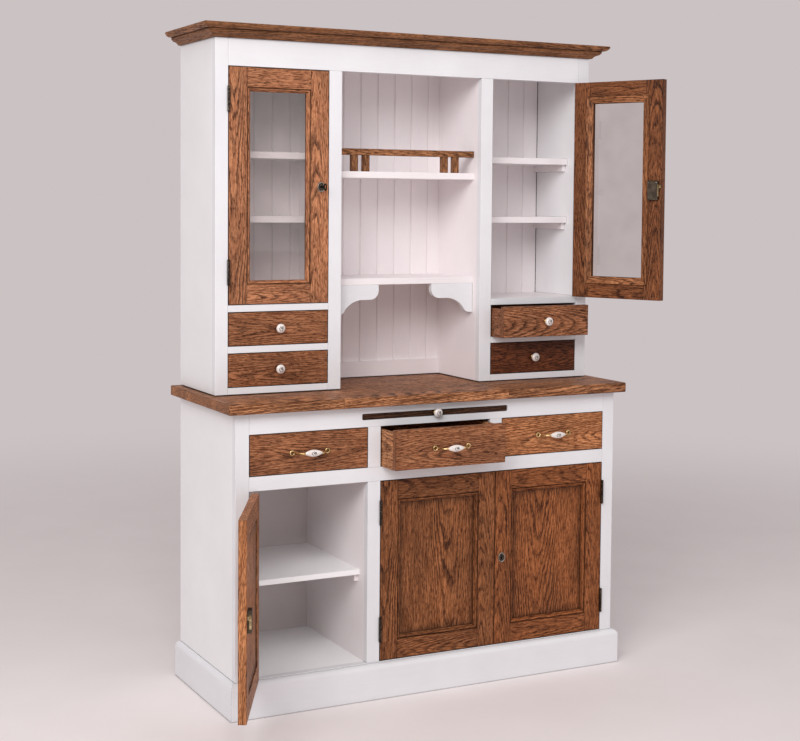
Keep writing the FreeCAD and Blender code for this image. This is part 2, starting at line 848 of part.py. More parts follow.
def build_hutch_back():
    """Upright back boards with a V groove at each joint, and the rail at the foot of the niche."""
    boards = []
    span = amount("2 * base_side_in")
    count = int((span - amount("back_board_first")) // amount("back_board_pitch")) + 2
    for place in range(count):
        low = "0" if place == 0 else f"back_board_first + {place - 1} * back_board_pitch"
        high = f"back_board_first + {place} * back_board_pitch"
        if place == count - 1:
            high = "2 * base_side_in"
        corners = [
            (f"{low} + back_groove_half", 0),
            (f"{high} - back_groove_half", 0),
            (high, "back_groove_depth"),
            (high, "back_thickness"),
            (low, "back_thickness"),
            (low, "back_groove_depth"),
        ]
        body = padded(f"back_board_{place}", "XY_Plane", [corners], "hutch_top - hutch_foot")
        boards.append(put(body, "-base_side_in", "back_face", "hutch_foot"))
    rail = board(
        "niche_back_rail",
        ("-niche_half", "niche_half"),
        ("back_face - back_rail_thickness", "back_face"),
        ("hutch_foot", "hutch_foot + back_rail_height"),
    )
    piece("hutch_back_boards", boards + [rail])


def build_hutch_shelves():
    shelves = []
    for level in ("side_shelf_high", "side_shelf_low"):
        for side, low, high in (
            ("left", "-base_side_in + shelf_gap", "-niche_half - board_thickness - shelf_gap"),
            ("right", "niche_half + board_thickness + shelf_gap", "base_side_in - shelf_gap"),
        ):
            shelves.append(board(
                f"{level}_{side}",
                (low, high),
                ("hutch_front + side_shelf_setback", "back_face"),
                (f"{level} - shelf_thickness", level),
            ))
    for level in ("gallery_shelf_top", "niche_shelf_top"):
        shelves.append(board(
            level,
            ("-niche_half", "niche_half"),
            ("niche_front", "back_face"),
            (f"{level} - shelf_thickness", level),
        ))
    piece("hutch_shelves", shelves)


def build_brackets():
    """The pair of shaped brackets that hold up the front of the niche shelf."""
    shoulder = f"{BRACKET_SHOULDER_SHARE} * bracket_width"
    sides = []
    for name, side in (("left", -1), ("right", 1)):
        def across(text):
            return f"{side} * (niche_half - ({text}))"

        def below(text):
            return f"niche_shelf_top - shelf_thickness - ({text})"

        bend = -side
        corners = [
            (across("0"), below("0")),
            (across("bracket_width"), below("0")),
            (across("bracket_width"), below("bracket_lip"), f"{bend * -1} * bracket_nose"),
            (across("bracket_width - bracket_nose"), below("bracket_lip + bracket_nose")),
            (across(shoulder), below("bracket_lip + bracket_nose"),
             f"{bend} * {BRACKET_HOLLOW_ROUND_SHARE} * bracket_width"),
            (across(f"{BRACKET_HOLLOW_WIDE_SHARE} * bracket_width"),
             below(f"{BRACKET_HOLLOW_DROP_SHARE} * bracket_drop"),
             f"{bend * -1} * {BRACKET_CURL_ROUND_SHARE} * bracket_width"),
            (across(f"{BRACKET_CURL_SHARE} * bracket_width"), below("bracket_drop")),
            (across("0"), below("bracket_drop")),
        ]
        body = padded(f"niche_bracket_{name}", "XZ_Plane", [corners], "bracket_thickness", True)
        sides.append(put(body, 0, "niche_front", 0))
    piece("niche_brackets", sides)


def build_gallery():
    depth = ("niche_front", "niche_front + gallery_rail_depth")
    low = "gallery_shelf_top + gallery_clear_height"
    high = f"{low} + gallery_rail_height"
    parts = [board("gallery_rail", ("-niche_half", "niche_half"), depth, (low, high))]
    for place, middle in enumerate(
        ("-gallery_post_outer", "-gallery_post_inner", "gallery_post_inner", "gallery_post_outer")
    ):
        parts.append(board(
            f"gallery_post_{place}",
            (f"{middle} - gallery_post_width / 2", f"{middle} + gallery_post_width / 2"),
            depth,
            ("gallery_shelf_top", low),
        ))
    piece("gallery", parts)


def build_cornice():
    """A stepped bed moulding and a crown over it, each of three mitred sticks."""
    bed = [
        ("-cornice_seat", 0),
        ("bed_foot", 0, "bed_step_out"),
        ("bed_step_out", "bed_step_up"),
        ("bed_step_out + crown_arris", "bed_step_up", "-bed_step_out"),
        ("bed_reach", "bed_height - bed_fillet"),
        ("bed_reach", "bed_height"),
        ("-cornice_seat", "bed_height"),
    ]
    crown = [
        ("-cornice_seat", 0),
        ("crown_foot", 0, "-crown_height"),
        ("crown_reach", "crown_height - crown_arris"),
        ("crown_reach - crown_arris", "crown_height"),
        ("-cornice_seat", "crown_height"),
    ]
    span = "rear - hutch_front"
    middle = "(rear + hutch_front) / 2"
    sticks = []
    for level, profile, reach, foot in (
        ("bed", bed, "bed_reach", "hutch_top"),
        ("crown", crown, "crown_reach", "hutch_top + bed_height"),
    ):
        front_stick = mitred_stick(f"cornice_{level}_front", profile, reach, "base_width", (-1, 1))
        sticks.append(put(front_stick, 0, "hutch_front", foot))
        for side, mitred_end, x in (("left", 1, "-base_width / 2"), ("right", -1, "base_width / 2")):
            facing = turn((0, 0, 1), -90 * mitred_end)
            stick = mitred_stick(f"cornice_{level}_{side}", profile, reach, span, (mitred_end,), facing)
            sticks.append(put(stick, x, middle, foot))
    piece("cornice", sticks)


def hinge_leaf(name, x, y, z, side, own):
    """One leaf of a butt hinge with its knuckles. side is the way from the pin to the leaf."""
    parts = []
    near = f"{side} * (door_gap / 2 - leaf_thickness)"
    far = f"{side} * door_gap / 2"
    low, high = (near, far) if side > 0 else (far, near)
    plate_x = (f"({x}) + {low}", f"({x}) + {high}")
    plate_y = (f"({y}) + knuckle_proud", f"({y}) + knuckle_proud + leaf_depth")
    parts.append(board(name + "_plate", plate_x, plate_y, (z, f"({z}) + hinge_height")))
    step = "hinge_height / knuckle_count"
    for place in range(SETTINGS["knuckle_count"]):
        if place % 2 != own:
            continue
        start = f"({z}) + {place} * {step} + knuckle_play / 2"
        stop = f"({z}) + {place + 1} * {step} - knuckle_play / 2"
        neck_y = (f"({y}) + pin_radius + (knuckle_radius - pin_radius) / 2", f"({y}) + knuckle_proud")
        parts.append(board(f"{name}_neck_{place}", plate_x, neck_y, (start, stop)))
        parts.append(rod(f"{name}_knuckle_{place}", "knuckle_radius", f"({stop}) - ({start})", x, y, start))
    return parts


def door_hinges(label, z_low, z_high, side, place):
    """The moving leaves of a door's two hinges, in the door's own frame, bored for the pins."""
    leaves = []
    for name, z in (("low", z_low), ("high", z_high)):
        solid = joined(f"{label}_{name}_leaf", hinge_leaf(f"{label}_{name}", "0", "0", z, side, 1))
        bore = rod(
            f"{label}_{name}_bore", "pin_radius + pin_play", "hinge_height + 2 * overrun",
            "0", "0", f"({z}) - overrun"
        )
        leaves.append(cut(f"{label}_{name}_bored", solid, [bore]))
    piece(label, leaves, *place)


def fixed_leaves():
    """The carcass leaves of all the hinges, each joined to its pin."""
    leaves = []
    for name, x, y, side, z_low, z_high in HINGE_PLACES:
        for level, z in (("low", z_low), ("high", z_high)):
            parts = hinge_leaf(f"fixed_{name}_{level}", x, y, z, side, 0)
            parts.append(rod(f"fixed_{name}_{level}_pin", "pin_radius", "hinge_height", x, y, z))
            leaves.append(joined(f"fixed_{name}_{level}_leaf", parts))
    piece("carcass_hinge_leaves", leaves)


HUTCH_HINGE_LOW = "hutch_door_low + hinge_inset"
HUTCH_HINGE_HIGH = "hutch_door_low + hutch_door_height - hinge_inset - hinge_height"
BASE_HINGE_LOW = "base_door_low + hinge_inset"
BASE_HINGE_HIGH = "base_door_low + base_door_height - hinge_inset - hinge_height"
HUTCH_PIN_Y = "hutch_front - knuckle_proud"
BASE_PIN_Y = "front - knuckle_proud"
HINGE_PLACES = (
    ("upper_left", "-hutch_inner + door_gap / 2", HUTCH_PIN_Y, -1, HUTCH_HINGE_LOW, HUTCH_HINGE_HIGH),
    ("upper_right", "hutch_inner - door_gap / 2", HUTCH_PIN_Y, 1, HUTCH_HINGE_LOW, HUTCH_HINGE_HIGH),
    ("lower_left", "-base_inner + door_gap / 2", BASE_PIN_Y, -1, BASE_HINGE_LOW, BASE_HINGE_HIGH),
    ("lower_middle", "-mid_bay + door_gap / 2", BASE_PIN_Y, -1, BASE_HINGE_LOW, BASE_HINGE_HIGH),
    ("lower_right", "base_inner - door_gap / 2", BASE_PIN_Y, 1, BASE_HINGE_LOW, BASE_HINGE_HIGH),
)


def keyhole(name, x, z, near, far):
    """A narrow keyhole between two depths: a round eye over a slot."""
    eye = rod(name + "_eye", "keyhole_round", f"({far}) - ({near})", x, near, z, turn((1, 0, 0), -90))
    slot = board(
        name + "_slot",
        (f"({x}) - keyhole_slot / 2", f"({x}) + keyhole_slot / 2"),
        (near, far),
        (f"{z} - keyhole_drop", z),
    )
    return [eye, slot]


def key_bore(name, x, z, near, far):
    """A round bore between two depths, in which the key turns."""
    return [rod(name + "_bore", "key_hole_radius", f"({far}) - ({near})", x, near, z, turn((1, 0, 0), -90))]


def door_members(label, x, y, z, width, height, rebated, lock=None):
    """Two full-height stiles and two rails between them, rebated behind for glass if asked."""
    depth = (y, f"{y} + door_thickness")
    right = f"({x}) + {width}"
    top = f"({z}) + {height}"
    members = {
        "stile_left": ((x, f"({x}) + door_member"), (z, top)),
        "stile_right": ((f"{right} - door_member", right), (z, top)),
        "rail_foot": ((f"({x}) + door_member", f"{right} - door_member"), (z, f"({z}) + door_member")),
        "rail_head": ((f"({x}) + door_member", f"{right} - door_member"), (f"{top} - door_member", top)),
    }
    rebate_y = (f"{y} + glass_front", f"{y} + door_thickness + overrun")
    edge = "rebate_edge"
    inner_x = (f"({x}) + {edge}", f"{right} - {edge}")
    inner_z = (f"({z}) + {edge}", f"{top} - {edge}")
    solids = []
    for name, (across, up) in members.items():
        solid = board(f"{label}_{name}", across, depth, up)
        tools = []
        if rebated:
            tools.append(board(f"{label}_{name}_rebate", inner_x, rebate_y, inner_z))
        if lock and name == lock[0]:
            hole, hole_x, hole_z = lock[1:]
            through = (f"{y} - overrun", f"{y} + door_thickness + overrun")
            tools += hole(f"{label}_{name}_keyhole", hole_x, hole_z, *through)
        solids.append(cut(f"{label}_{name}_worked", solid, tools) if tools else solid)
    return solids


def glazed_door(label, side, angle, pin_x, lock):
    """A hutch door: rebated frame, front moulding, glass and inner bead, hung at its pin."""
    x = "door_gap / 2" if side < 0 else "-(door_gap / 2) - hutch_door_width"
    y = "knuckle_proud"
    z = "hutch_door_low"
    size = ("hutch_door_width", "hutch_door_height")
    place = (pin_x, HUTCH_PIN_Y, 0, angle)
    piece(f"{label}_frame", door_members(label, x, y, z, *size, True, lock), *place)
    moulding = mitred_ring(
        f"{label}_moulding", x, y, z, *size,
        ("door_member", "door_member + panel_moulding"),
        ("panel_moulding_step", "glass_front"),
        ("panel_moulding_fall", "glass_front"),
    )
    glass_back = "glass_front + glass_thickness"
    beads = mitred_ring(
        f"{label}_bead", x, y, z, *size,
        ("rebate_edge", "rebate_edge + glass_bead_width"),
        (glass_back, f"{glass_back} + glass_bead_height"),
        (glass_back, f"{glass_back} + glass_bead_lip"),
    )
    piece(f"{label}_mouldings", moulding + beads, *place)
    inset = "rebate_edge + glass_play"
    glass = board(
        f"{label}_pane",
        (f"{x} + {inset}", f"{x} + hutch_door_width - ({inset})"),
        (f"{y} + glass_front", f"{y} + {glass_back}"),
        (f"{z} + {inset}", f"{z} + hutch_door_height - ({inset})"),
    )
    piece(f"{label}_glass", [glass], *place)
    door_hinges(f"{label}_hinges", HUTCH_HINGE_LOW, HUTCH_HINGE_HIGH, -side, place)
    return x, y, place


def panelled_door(label, side, width, angle, pin_x, lock):
    """A base door: plain frame, sunk flat panel and a mitred moulding round it."""
    x = "door_gap / 2" if side < 0 else f"-(door_gap / 2) - {width}"
    y = "knuckle_proud"
    z = "base_door_low"
    place = (pin_x, BASE_PIN_Y, 0, angle)
    solids = door_members(label, x, y, z, width, "base_door_height", False, lock)
    solids += mitred_ring(
        f"{label}_moulding", x, y, z, width, "base_door_height",
        ("door_member", "door_member + panel_moulding"),
        ("panel_moulding_step", "panel_depth"),
        ("panel_moulding_fall", "panel_depth"),
    )
    piece(f"{label}_frame", solids, *place)
    panel = board(
        f"{label}_board",
        (f"{x} + door_member", f"{x} + {width} - door_member"),
        (f"{y} + panel_depth", f"{y} + panel_depth + panel_thickness"),
        (f"{z} + door_member", f"{z} + base_door_height - door_member"),
    )
    piece(f"{label}_panel", [panel], *place)
    door_hinges(f"{label}_hinges", BASE_HINGE_LOW, BASE_HINGE_HIGH, -side, place)
    return x, y, place


def lock_parts(label, free_x, inward, y, lock_z, hole, with_bolt):
    """A box lock on the inner face, its bolt and the oval escutcheon outside.

    free_x is the door's free edge and inward the way from it into the door.
    """
    def span(near, far):
        limits = (f"({free_x}) + {inward} * ({near})", f"({free_x}) + {inward} * ({far})")
        return limits if inward > 0 else limits[::-1]

    back = f"{y} + door_thickness"
    bolt_y = f"{back} + bolt_lift"
    bolt_z = f"{lock_z} + key_bit_reach + bolt_play"
    case = board(
        label + "_box",
        span("lock_inset", "lock_inset + lock_width"),
        (back, f"{back} + lock_depth"),
        (f"{lock_z} - lock_height / 2", f"{lock_z} + lock_height / 2"),
    )
    room = board(
        label + "_room",
        span("lock_inset + lock_wall", "lock_inset + lock_width - lock_wall"),
        (f"{back} - overrun", f"{back} + lock_depth - lock_wall"),
        (f"{lock_z} - lock_height / 2 + lock_wall", f"{lock_z} + lock_height / 2 - lock_wall"),
    )
    mouth = board(
        label + "_mouth",
        span("lock_inset - overrun", "lock_inset + lock_wall + overrun"),
        (f"{bolt_y} - bolt_play", f"{bolt_y} + bolt_thickness + bolt_play"),
        (f"{bolt_z} - bolt_play", f"{bolt_z} + bolt_height + bolt_play"),
    )
    oval = doc.addObject("Part::Ellipse", label + "_oval")
    bind(oval, "MajorRadius", "escutcheon_half_height")
    bind(oval, "MinorRadius", "escutcheon_half_width")
    oval.Placement = FreeCAD.Placement(FreeCAD.Vector(), UPRIGHT.multiply(turn((0, 0, 1), 90)))
    key_x = f"({free_x}) + {inward} * key_backset"
    put(oval, key_x, y, lock_z)
    plate = doc.addObject("Part::Extrusion", label + "_plate")
    plate.Base = oval
    plate.DirMode = "Custom"
    plate.Dir = FreeCAD.Vector(0, -1, 0)
    plate.Solid = True
    bind(plate, "LengthFwd", "escutcheon_thickness")
    holes = hole(label + "_hole", key_x, lock_z, f"{y} - escutcheon_thickness - overrun", f"{y} + overrun")
    parts = [cut(label + "_case", case, [room, mouth]), cut(label + "_escutcheon", plate, holes)]
    bolt = board(
        label + "_bolt",
        span("bolt_inset", "bolt_inset + bolt_length"),
        (bolt_y, f"{bolt_y} + bolt_thickness"),
        (bolt_z, f"{bolt_z} + bolt_height"),
    )
    return parts + [bolt] if with_bolt else (parts, bolt)


def build_upper_left_door():
    """The closed glazed door with its lock, the key in it and the bolt that the key drives."""
    free_x = "door_gap / 2 + hutch_door_width"
    key_x = f"{free_x} - key_backset"
    lock_z = "hutch_lock_height"
    lock = ("stile_right", key_bore, key_x, lock_z)
    x, y, place = glazed_door("upper_left_door", -1, None, "-hutch_inner + door_gap / 2", lock)
    parts, bolt = lock_parts("upper_left_lock", free_x, -1, y, lock_z, key_bore, False)
    piece("upper_left_lock", parts, *place)
    piece("upper_left_bolt", [bolt], *place)
    tip_y = f"{y} + door_thickness + lock_depth - lock_wall - bolt_play"
    start_y = f"{y} - escutcheon_thickness - key_projection"
    reach = f"({tip_y}) - ({start_y})"
    inwards = turn((1, 0, 0), -90)
    shank = rod("key_shank", "key_shank_radius", reach, key_x, start_y, lock_z, inwards)
    bow = ring("key_bow", "key_bow_radius", "key_bow_wire", turn((0, 1, 0), 90))
    put(bow, key_x, f"{start_y} - key_bow_radius + key_bow_wire / 2", lock_z)
    bit = board(
        "key_bit",
        (f"{key_x} - key_bit_thickness / 2", f"{key_x} + key_bit_thickness / 2"),
        (f"{tip_y} - key_bit_length", tip_y),
        (f"{lock_z} - key_bit_reach", lock_z),
    )
    piece("upper_left_key", [joined("key_whole", [shank, bow, bit])], *place)


def build_other_doors():
    free_x = "-(door_gap / 2) - hutch_door_width"
    lock_z = "hutch_lock_height"
    lock = ("stile_left", keyhole, f"{free_x} + key_backset", lock_z)
    pin_x = "hutch_inner - door_gap / 2"
    x, y, place = glazed_door("upper_right_door", 1, "upper_right_door_angle", pin_x, lock)
    piece("upper_right_lock", lock_parts("upper_right_lock", free_x, 1, y, lock_z, keyhole, True), *place)
    doors = (
        ("lower_left", True, -1, "base_door_single", "-lower_left_door_angle", "-base_inner + door_gap / 2"),
        ("lower_middle", False, -1, "base_door_pair", None, "-mid_bay + door_gap / 2"),
        ("lower_right", True, 1, "base_door_pair", None, "base_inner - door_gap / 2"),
    )
    lock_z = "base_lock_height"
    for name, locked, side, width, angle, pin_x in doors:
        free_x = f"door_gap / 2 + {width}" if side < 0 else f"-(door_gap / 2) - {width}"
        stile = "stile_right" if side < 0 else "stile_left"
        lock = (stile, keyhole, f"({free_x}) + {side} * key_backset", lock_z) if locked else None
        x, y, place = panelled_door(name + "_door", side, width, angle, pin_x, lock)
        if locked:
            piece(name + "_lock", lock_parts(name + "_lock", free_x, side, y, lock_z, keyhole, True), *place)


def drawer(label, span, height, front_y, length, out):
    """A lapped front, two sides, a back and a bottom, shown pulled out by its own amount."""
    left = f"({span[0]}) + drawer_gap"
    right = f"({span[1]}) - drawer_gap"
    low = f"({height[0]}) + drawer_lift"
    box_y = f"{front_y} + drawer_front"
    box_back = f"{front_y} + {length}"
    side_top = f"({height[1]}) - drawer_gap - drawer_side_drop"
    side_left = f"{left} + drawer_play"
    side_right = f"{right} - drawer_play"
    inner_x = (f"{side_left} + drawer_side", f"{side_right} - drawer_side")
    face = (f"({height[0]}) + drawer_gap", f"({height[1]}) - drawer_gap")
    back_y = (f"{box_back} - drawer_side", box_back)
    parts = [
        board(f"{label}_front", (left, right), (front_y, box_y), face),
        board(f"{label}_side_left", (side_left, inner_x[0]), (box_y, box_back), (low, side_top)),
        board(f"{label}_side_right", (inner_x[1], side_right), (box_y, box_back), (low, side_top)),
        board(f"{label}_back", inner_x, back_y, (f"{low} + drawer_bottom_lift", side_top)),
        board(
            f"{label}_bottom", inner_x, (box_y, f"{box_back} - drawer_side"),
            (f"{low} + drawer_bottom_lift", f"{low} + drawer_bottom_lift + drawer_bottom"),
        ),
    ]
    piece(label, parts, 0, out, 0)


def knob(label, x, y, z, out):
    """A turned knob on a round rose. Its axis points out of the front."""
    rose = rod(label + "_rose", "knob_rose_radius", "knob_rose_thickness", x, y, z, UPRIGHT)
    half = [(0, "knob_rose_thickness"), ("knob_neck", "knob_rose_thickness")]
    half += [(f"{out_share} * knob_radius", f"{up_share} * knob_projection")
             for out_share, up_share in KNOB_HEAD_SHARES]
    half.append((0, "knob_projection"))
    head = put(turned(label + "_head", half, UPRIGHT), x, y, z)
    piece(label, [rose, head], 0, out, 0)


def handle(label, x, y, z, out):
    """A ring at each end lies on the front, and an arm curves out from it to the turned grip."""
    parts = []
    root_x = "(handle_centres / 2 - handle_ring_radius)"
    tip_x = f"({GRIP_SHARES[-2][0]} * grip_half_length)"
    middle_x = f"({root_x} + {tip_x}) / 2"
    for name, side in (("left", -1), ("right", 1)):
        hoop = ring(f"{label}_{name}_ring", "handle_ring_radius", "handle_ring_wire", UPRIGHT)
        put(hoop, f"{x} + {side} * handle_centres / 2", f"{y} - handle_ring_wire", z)
        curve = f"{side} * handle_arm_curve"
        back = f"{side * -1} * handle_arm_curve"
        corners = [
            (f"{side} * {root_x}", 0, curve),
            (f"{side} * {middle_x}", "(handle_arm_tip / 2 - handle_reach) / 2", back),
            (f"{side} * {tip_x}", "handle_arm_tip / 2 - handle_reach"),
            (f"{side} * {tip_x}", "-(handle_arm_tip / 2) - handle_reach", curve),
            (f"{side} * {middle_x}", "-(handle_arm_root + handle_arm_tip / 2 + handle_reach) / 2", back),
            (f"{side} * {root_x}", "-handle_arm_root"),
        ]
        arm = padded(f"{label}_{name}_arm", "XY_Plane", [corners], "handle_arm_height")
        put(arm, x, y, f"{z} - handle_arm_height / 2")
        parts.append(joined(f"{label}_{name}_side", [hoop, arm]))
    half = [(along, out_share) for along, out_share in GRIP_SHARES]
    around = [(-along, out_share) for along, out_share in reversed(half)] + half
    ends = [(0, f"{around[0][0]} * grip_half_length")]
    ends += [(f"{out_share} * grip_radius", f"{along} * grip_half_length") for along, out_share in around]
    ends.append((0, f"{around[-1][0]} * grip_half_length"))
    grip = turned(label + "_grip_full", ends, turn((0, 1, 0), 90))
    put(grip, x, f"{y} - handle_reach", z)
    piece(label, [cut(label + "_grip", grip, parts)] + parts, 0, out, 0)


def build_drawers():
    large = (
        ("large_drawer_left", ("-base_inner", "-mullion_out"), "0"),
        ("large_drawer_middle", ("-mid_bay", "mid_bay"), "-large_drawer_out"),
        ("large_drawer_right", ("mullion_out", "base_inner"), "0"),
    )
    for label, span, out in large:
        drawer(label, span, ("drawer_low", "drawer_high"), "front", "large_drawer_length", out)
        handle(
            label + "_handle", f"(({span[0]}) + ({span[1]})) / 2", "front",
            "(drawer_low + drawer_high) / 2", out
        )
    for side, span in HUTCH_BAYS:
        for level, low, high in (
            ("high", "small_high_from", "small_high_to"),
            ("low", "small_low_from", "small_low_to"),
        ):
            label = f"small_drawer_{side}_{level}"
            out = "-small_drawer_out" if (side, level) == ("right", "high") else "0"
            drawer(label, span, (low, high), "hutch_front", "small_drawer_length", out)
            middle = f"(({span[0]}) + ({span[1]})) / 2"
            knob(label + "_knob", middle, "hutch_front", f"({low} + {high}) / 2", out)


def build_slide_board():
    low = "slot_low + slide_board_clearance"
    high = f"{low} + slide_board_thickness"
    shape = slide_outline("slide_board_width / 2", low, high, "slide_board_corner")
    body = padded("slide_board_body", "XZ_Plane", [shape], "slide_board_depth", True)
    put(body, 0, "slide_board_front", 0)
    piece("slide_board", [body])
    knob("slide_board_knob", "0", "slide_board_front", f"{low} + slide_board_thickness / 2", "0")


def check_and_export():
    doc.recompute()
    for thing in doc.Objects:
        if "Invalid" in thing.State or "Error" in thing.State:
            raise RuntimeError(f"{thing.Label} did not rebuild: {thing.State}")
    os.makedirs("parts", exist_ok=True)
    for thing in pieces:
        shape = thing.Shape
        if shape.isNull() or not shape.isValid() or not shape.Solids:
            raise RuntimeError(f"{thing.Label} has no valid solid")
    for thing in pieces:
        thing.Shape.exportStep(os.path.join("parts", thing.Label + ".step"))
    print(len(pieces), "pieces")


fill_sheet()
build_plinth()
build_base_carcass()
build_base_frame()
build_base_shelves()
build_cleats()
build_guides()
build_worktop()
build_hutch_carcass()
build_hutch_frame()
build_hutch_back()
build_hutch_shelves()
build_brackets()
build_gallery()
build_cornice()
fixed_leaves()
build_upper_left_door()
build_other_doors()
build_drawers()
build_slide_board()
check_and_export()
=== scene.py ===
"""Looks of the buffet cabinet: a white painted carcass with oak doors, drawers, worktop and cornice.

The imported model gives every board, casting and pane its shape and place, in metres. Here the boards get
their arrises and their own run of grain, the handles, knobs, key and screws are modelled, and every surface
gets its finish.
"""

import json
import math
import random

import bmesh
import bpy
from mathutils import Matrix, Vector

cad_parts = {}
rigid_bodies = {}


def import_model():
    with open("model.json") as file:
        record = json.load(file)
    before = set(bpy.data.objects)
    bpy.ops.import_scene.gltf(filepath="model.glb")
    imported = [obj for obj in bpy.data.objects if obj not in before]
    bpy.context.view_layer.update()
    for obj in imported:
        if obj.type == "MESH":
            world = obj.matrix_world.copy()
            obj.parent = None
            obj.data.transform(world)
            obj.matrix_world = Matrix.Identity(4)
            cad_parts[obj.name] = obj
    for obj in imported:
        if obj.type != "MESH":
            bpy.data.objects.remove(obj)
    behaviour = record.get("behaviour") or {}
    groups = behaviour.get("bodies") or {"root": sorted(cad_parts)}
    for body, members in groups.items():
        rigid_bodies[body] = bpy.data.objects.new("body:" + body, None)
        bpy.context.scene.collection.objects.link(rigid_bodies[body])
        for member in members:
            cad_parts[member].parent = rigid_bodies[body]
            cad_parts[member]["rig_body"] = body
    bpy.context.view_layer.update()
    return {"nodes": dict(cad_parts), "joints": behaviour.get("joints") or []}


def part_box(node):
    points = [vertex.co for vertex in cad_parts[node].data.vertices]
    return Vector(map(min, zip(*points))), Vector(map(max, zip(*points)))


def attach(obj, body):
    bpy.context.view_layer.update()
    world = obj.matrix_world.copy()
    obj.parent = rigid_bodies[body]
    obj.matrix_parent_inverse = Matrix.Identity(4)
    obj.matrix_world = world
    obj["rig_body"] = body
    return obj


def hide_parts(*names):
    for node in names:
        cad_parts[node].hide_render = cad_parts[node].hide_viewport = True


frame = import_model()

MM = 0.001

# Sockets without a name of their own: the ends of a map range, and the parts of a colour mix.
IN_LOW, IN_HIGH, OUT_LOW, OUT_HIGH = 1, 2, 3, 4
SHARE, UNDER, OVER, MIXED = 0, 6, 7, 2


# Materials

def linear(text):
    """Turns an sRGB hex colour into the linear colour that a shader takes."""
    parts = [int(text[i : i + 2], 16) / 255 for i in (1, 3, 5)]
    return tuple(c / 12.92 if c <= 0.04045 else ((c + 0.055) / 1.055) ** 2.4 for c in parts) + (1.0,)


def node(tree, kind, settings=None, inputs=None, stops=None):
    """Adds one shader node, with its settings, its socket values or links, and the stops of a ramp."""
    made = tree.nodes.new("ShaderNode" + kind)
    for name, value in (settings or {}).items():
        setattr(made, name, value)
    for name, value in (inputs or {}).items():
        if isinstance(value, bpy.types.NodeSocket):
            tree.links.new(value, made.inputs[name])
        else:
            made.inputs[name].default_value = value
    if stops:
        ramp = made.color_ramp
        while len(ramp.elements) > 2:
            ramp.elements.remove(ramp.elements[-1])
        while len(ramp.elements) < len(stops):
            ramp.elements.new(1.0)
        for element, (place, colour) in zip(ramp.elements, stops):
            element.position = place
            element.color = linear(colour) if isinstance(colour, str) else (colour, colour, colour, 1.0)
    return made


def new_material(name):
    """An empty material, with its node tree and its output."""
    made = bpy.data.materials.new(name)
    made.use_nodes = True
    made.node_tree.nodes.clear()
    return made, made.node_tree, made.node_tree.nodes.new("ShaderNodeOutputMaterial")


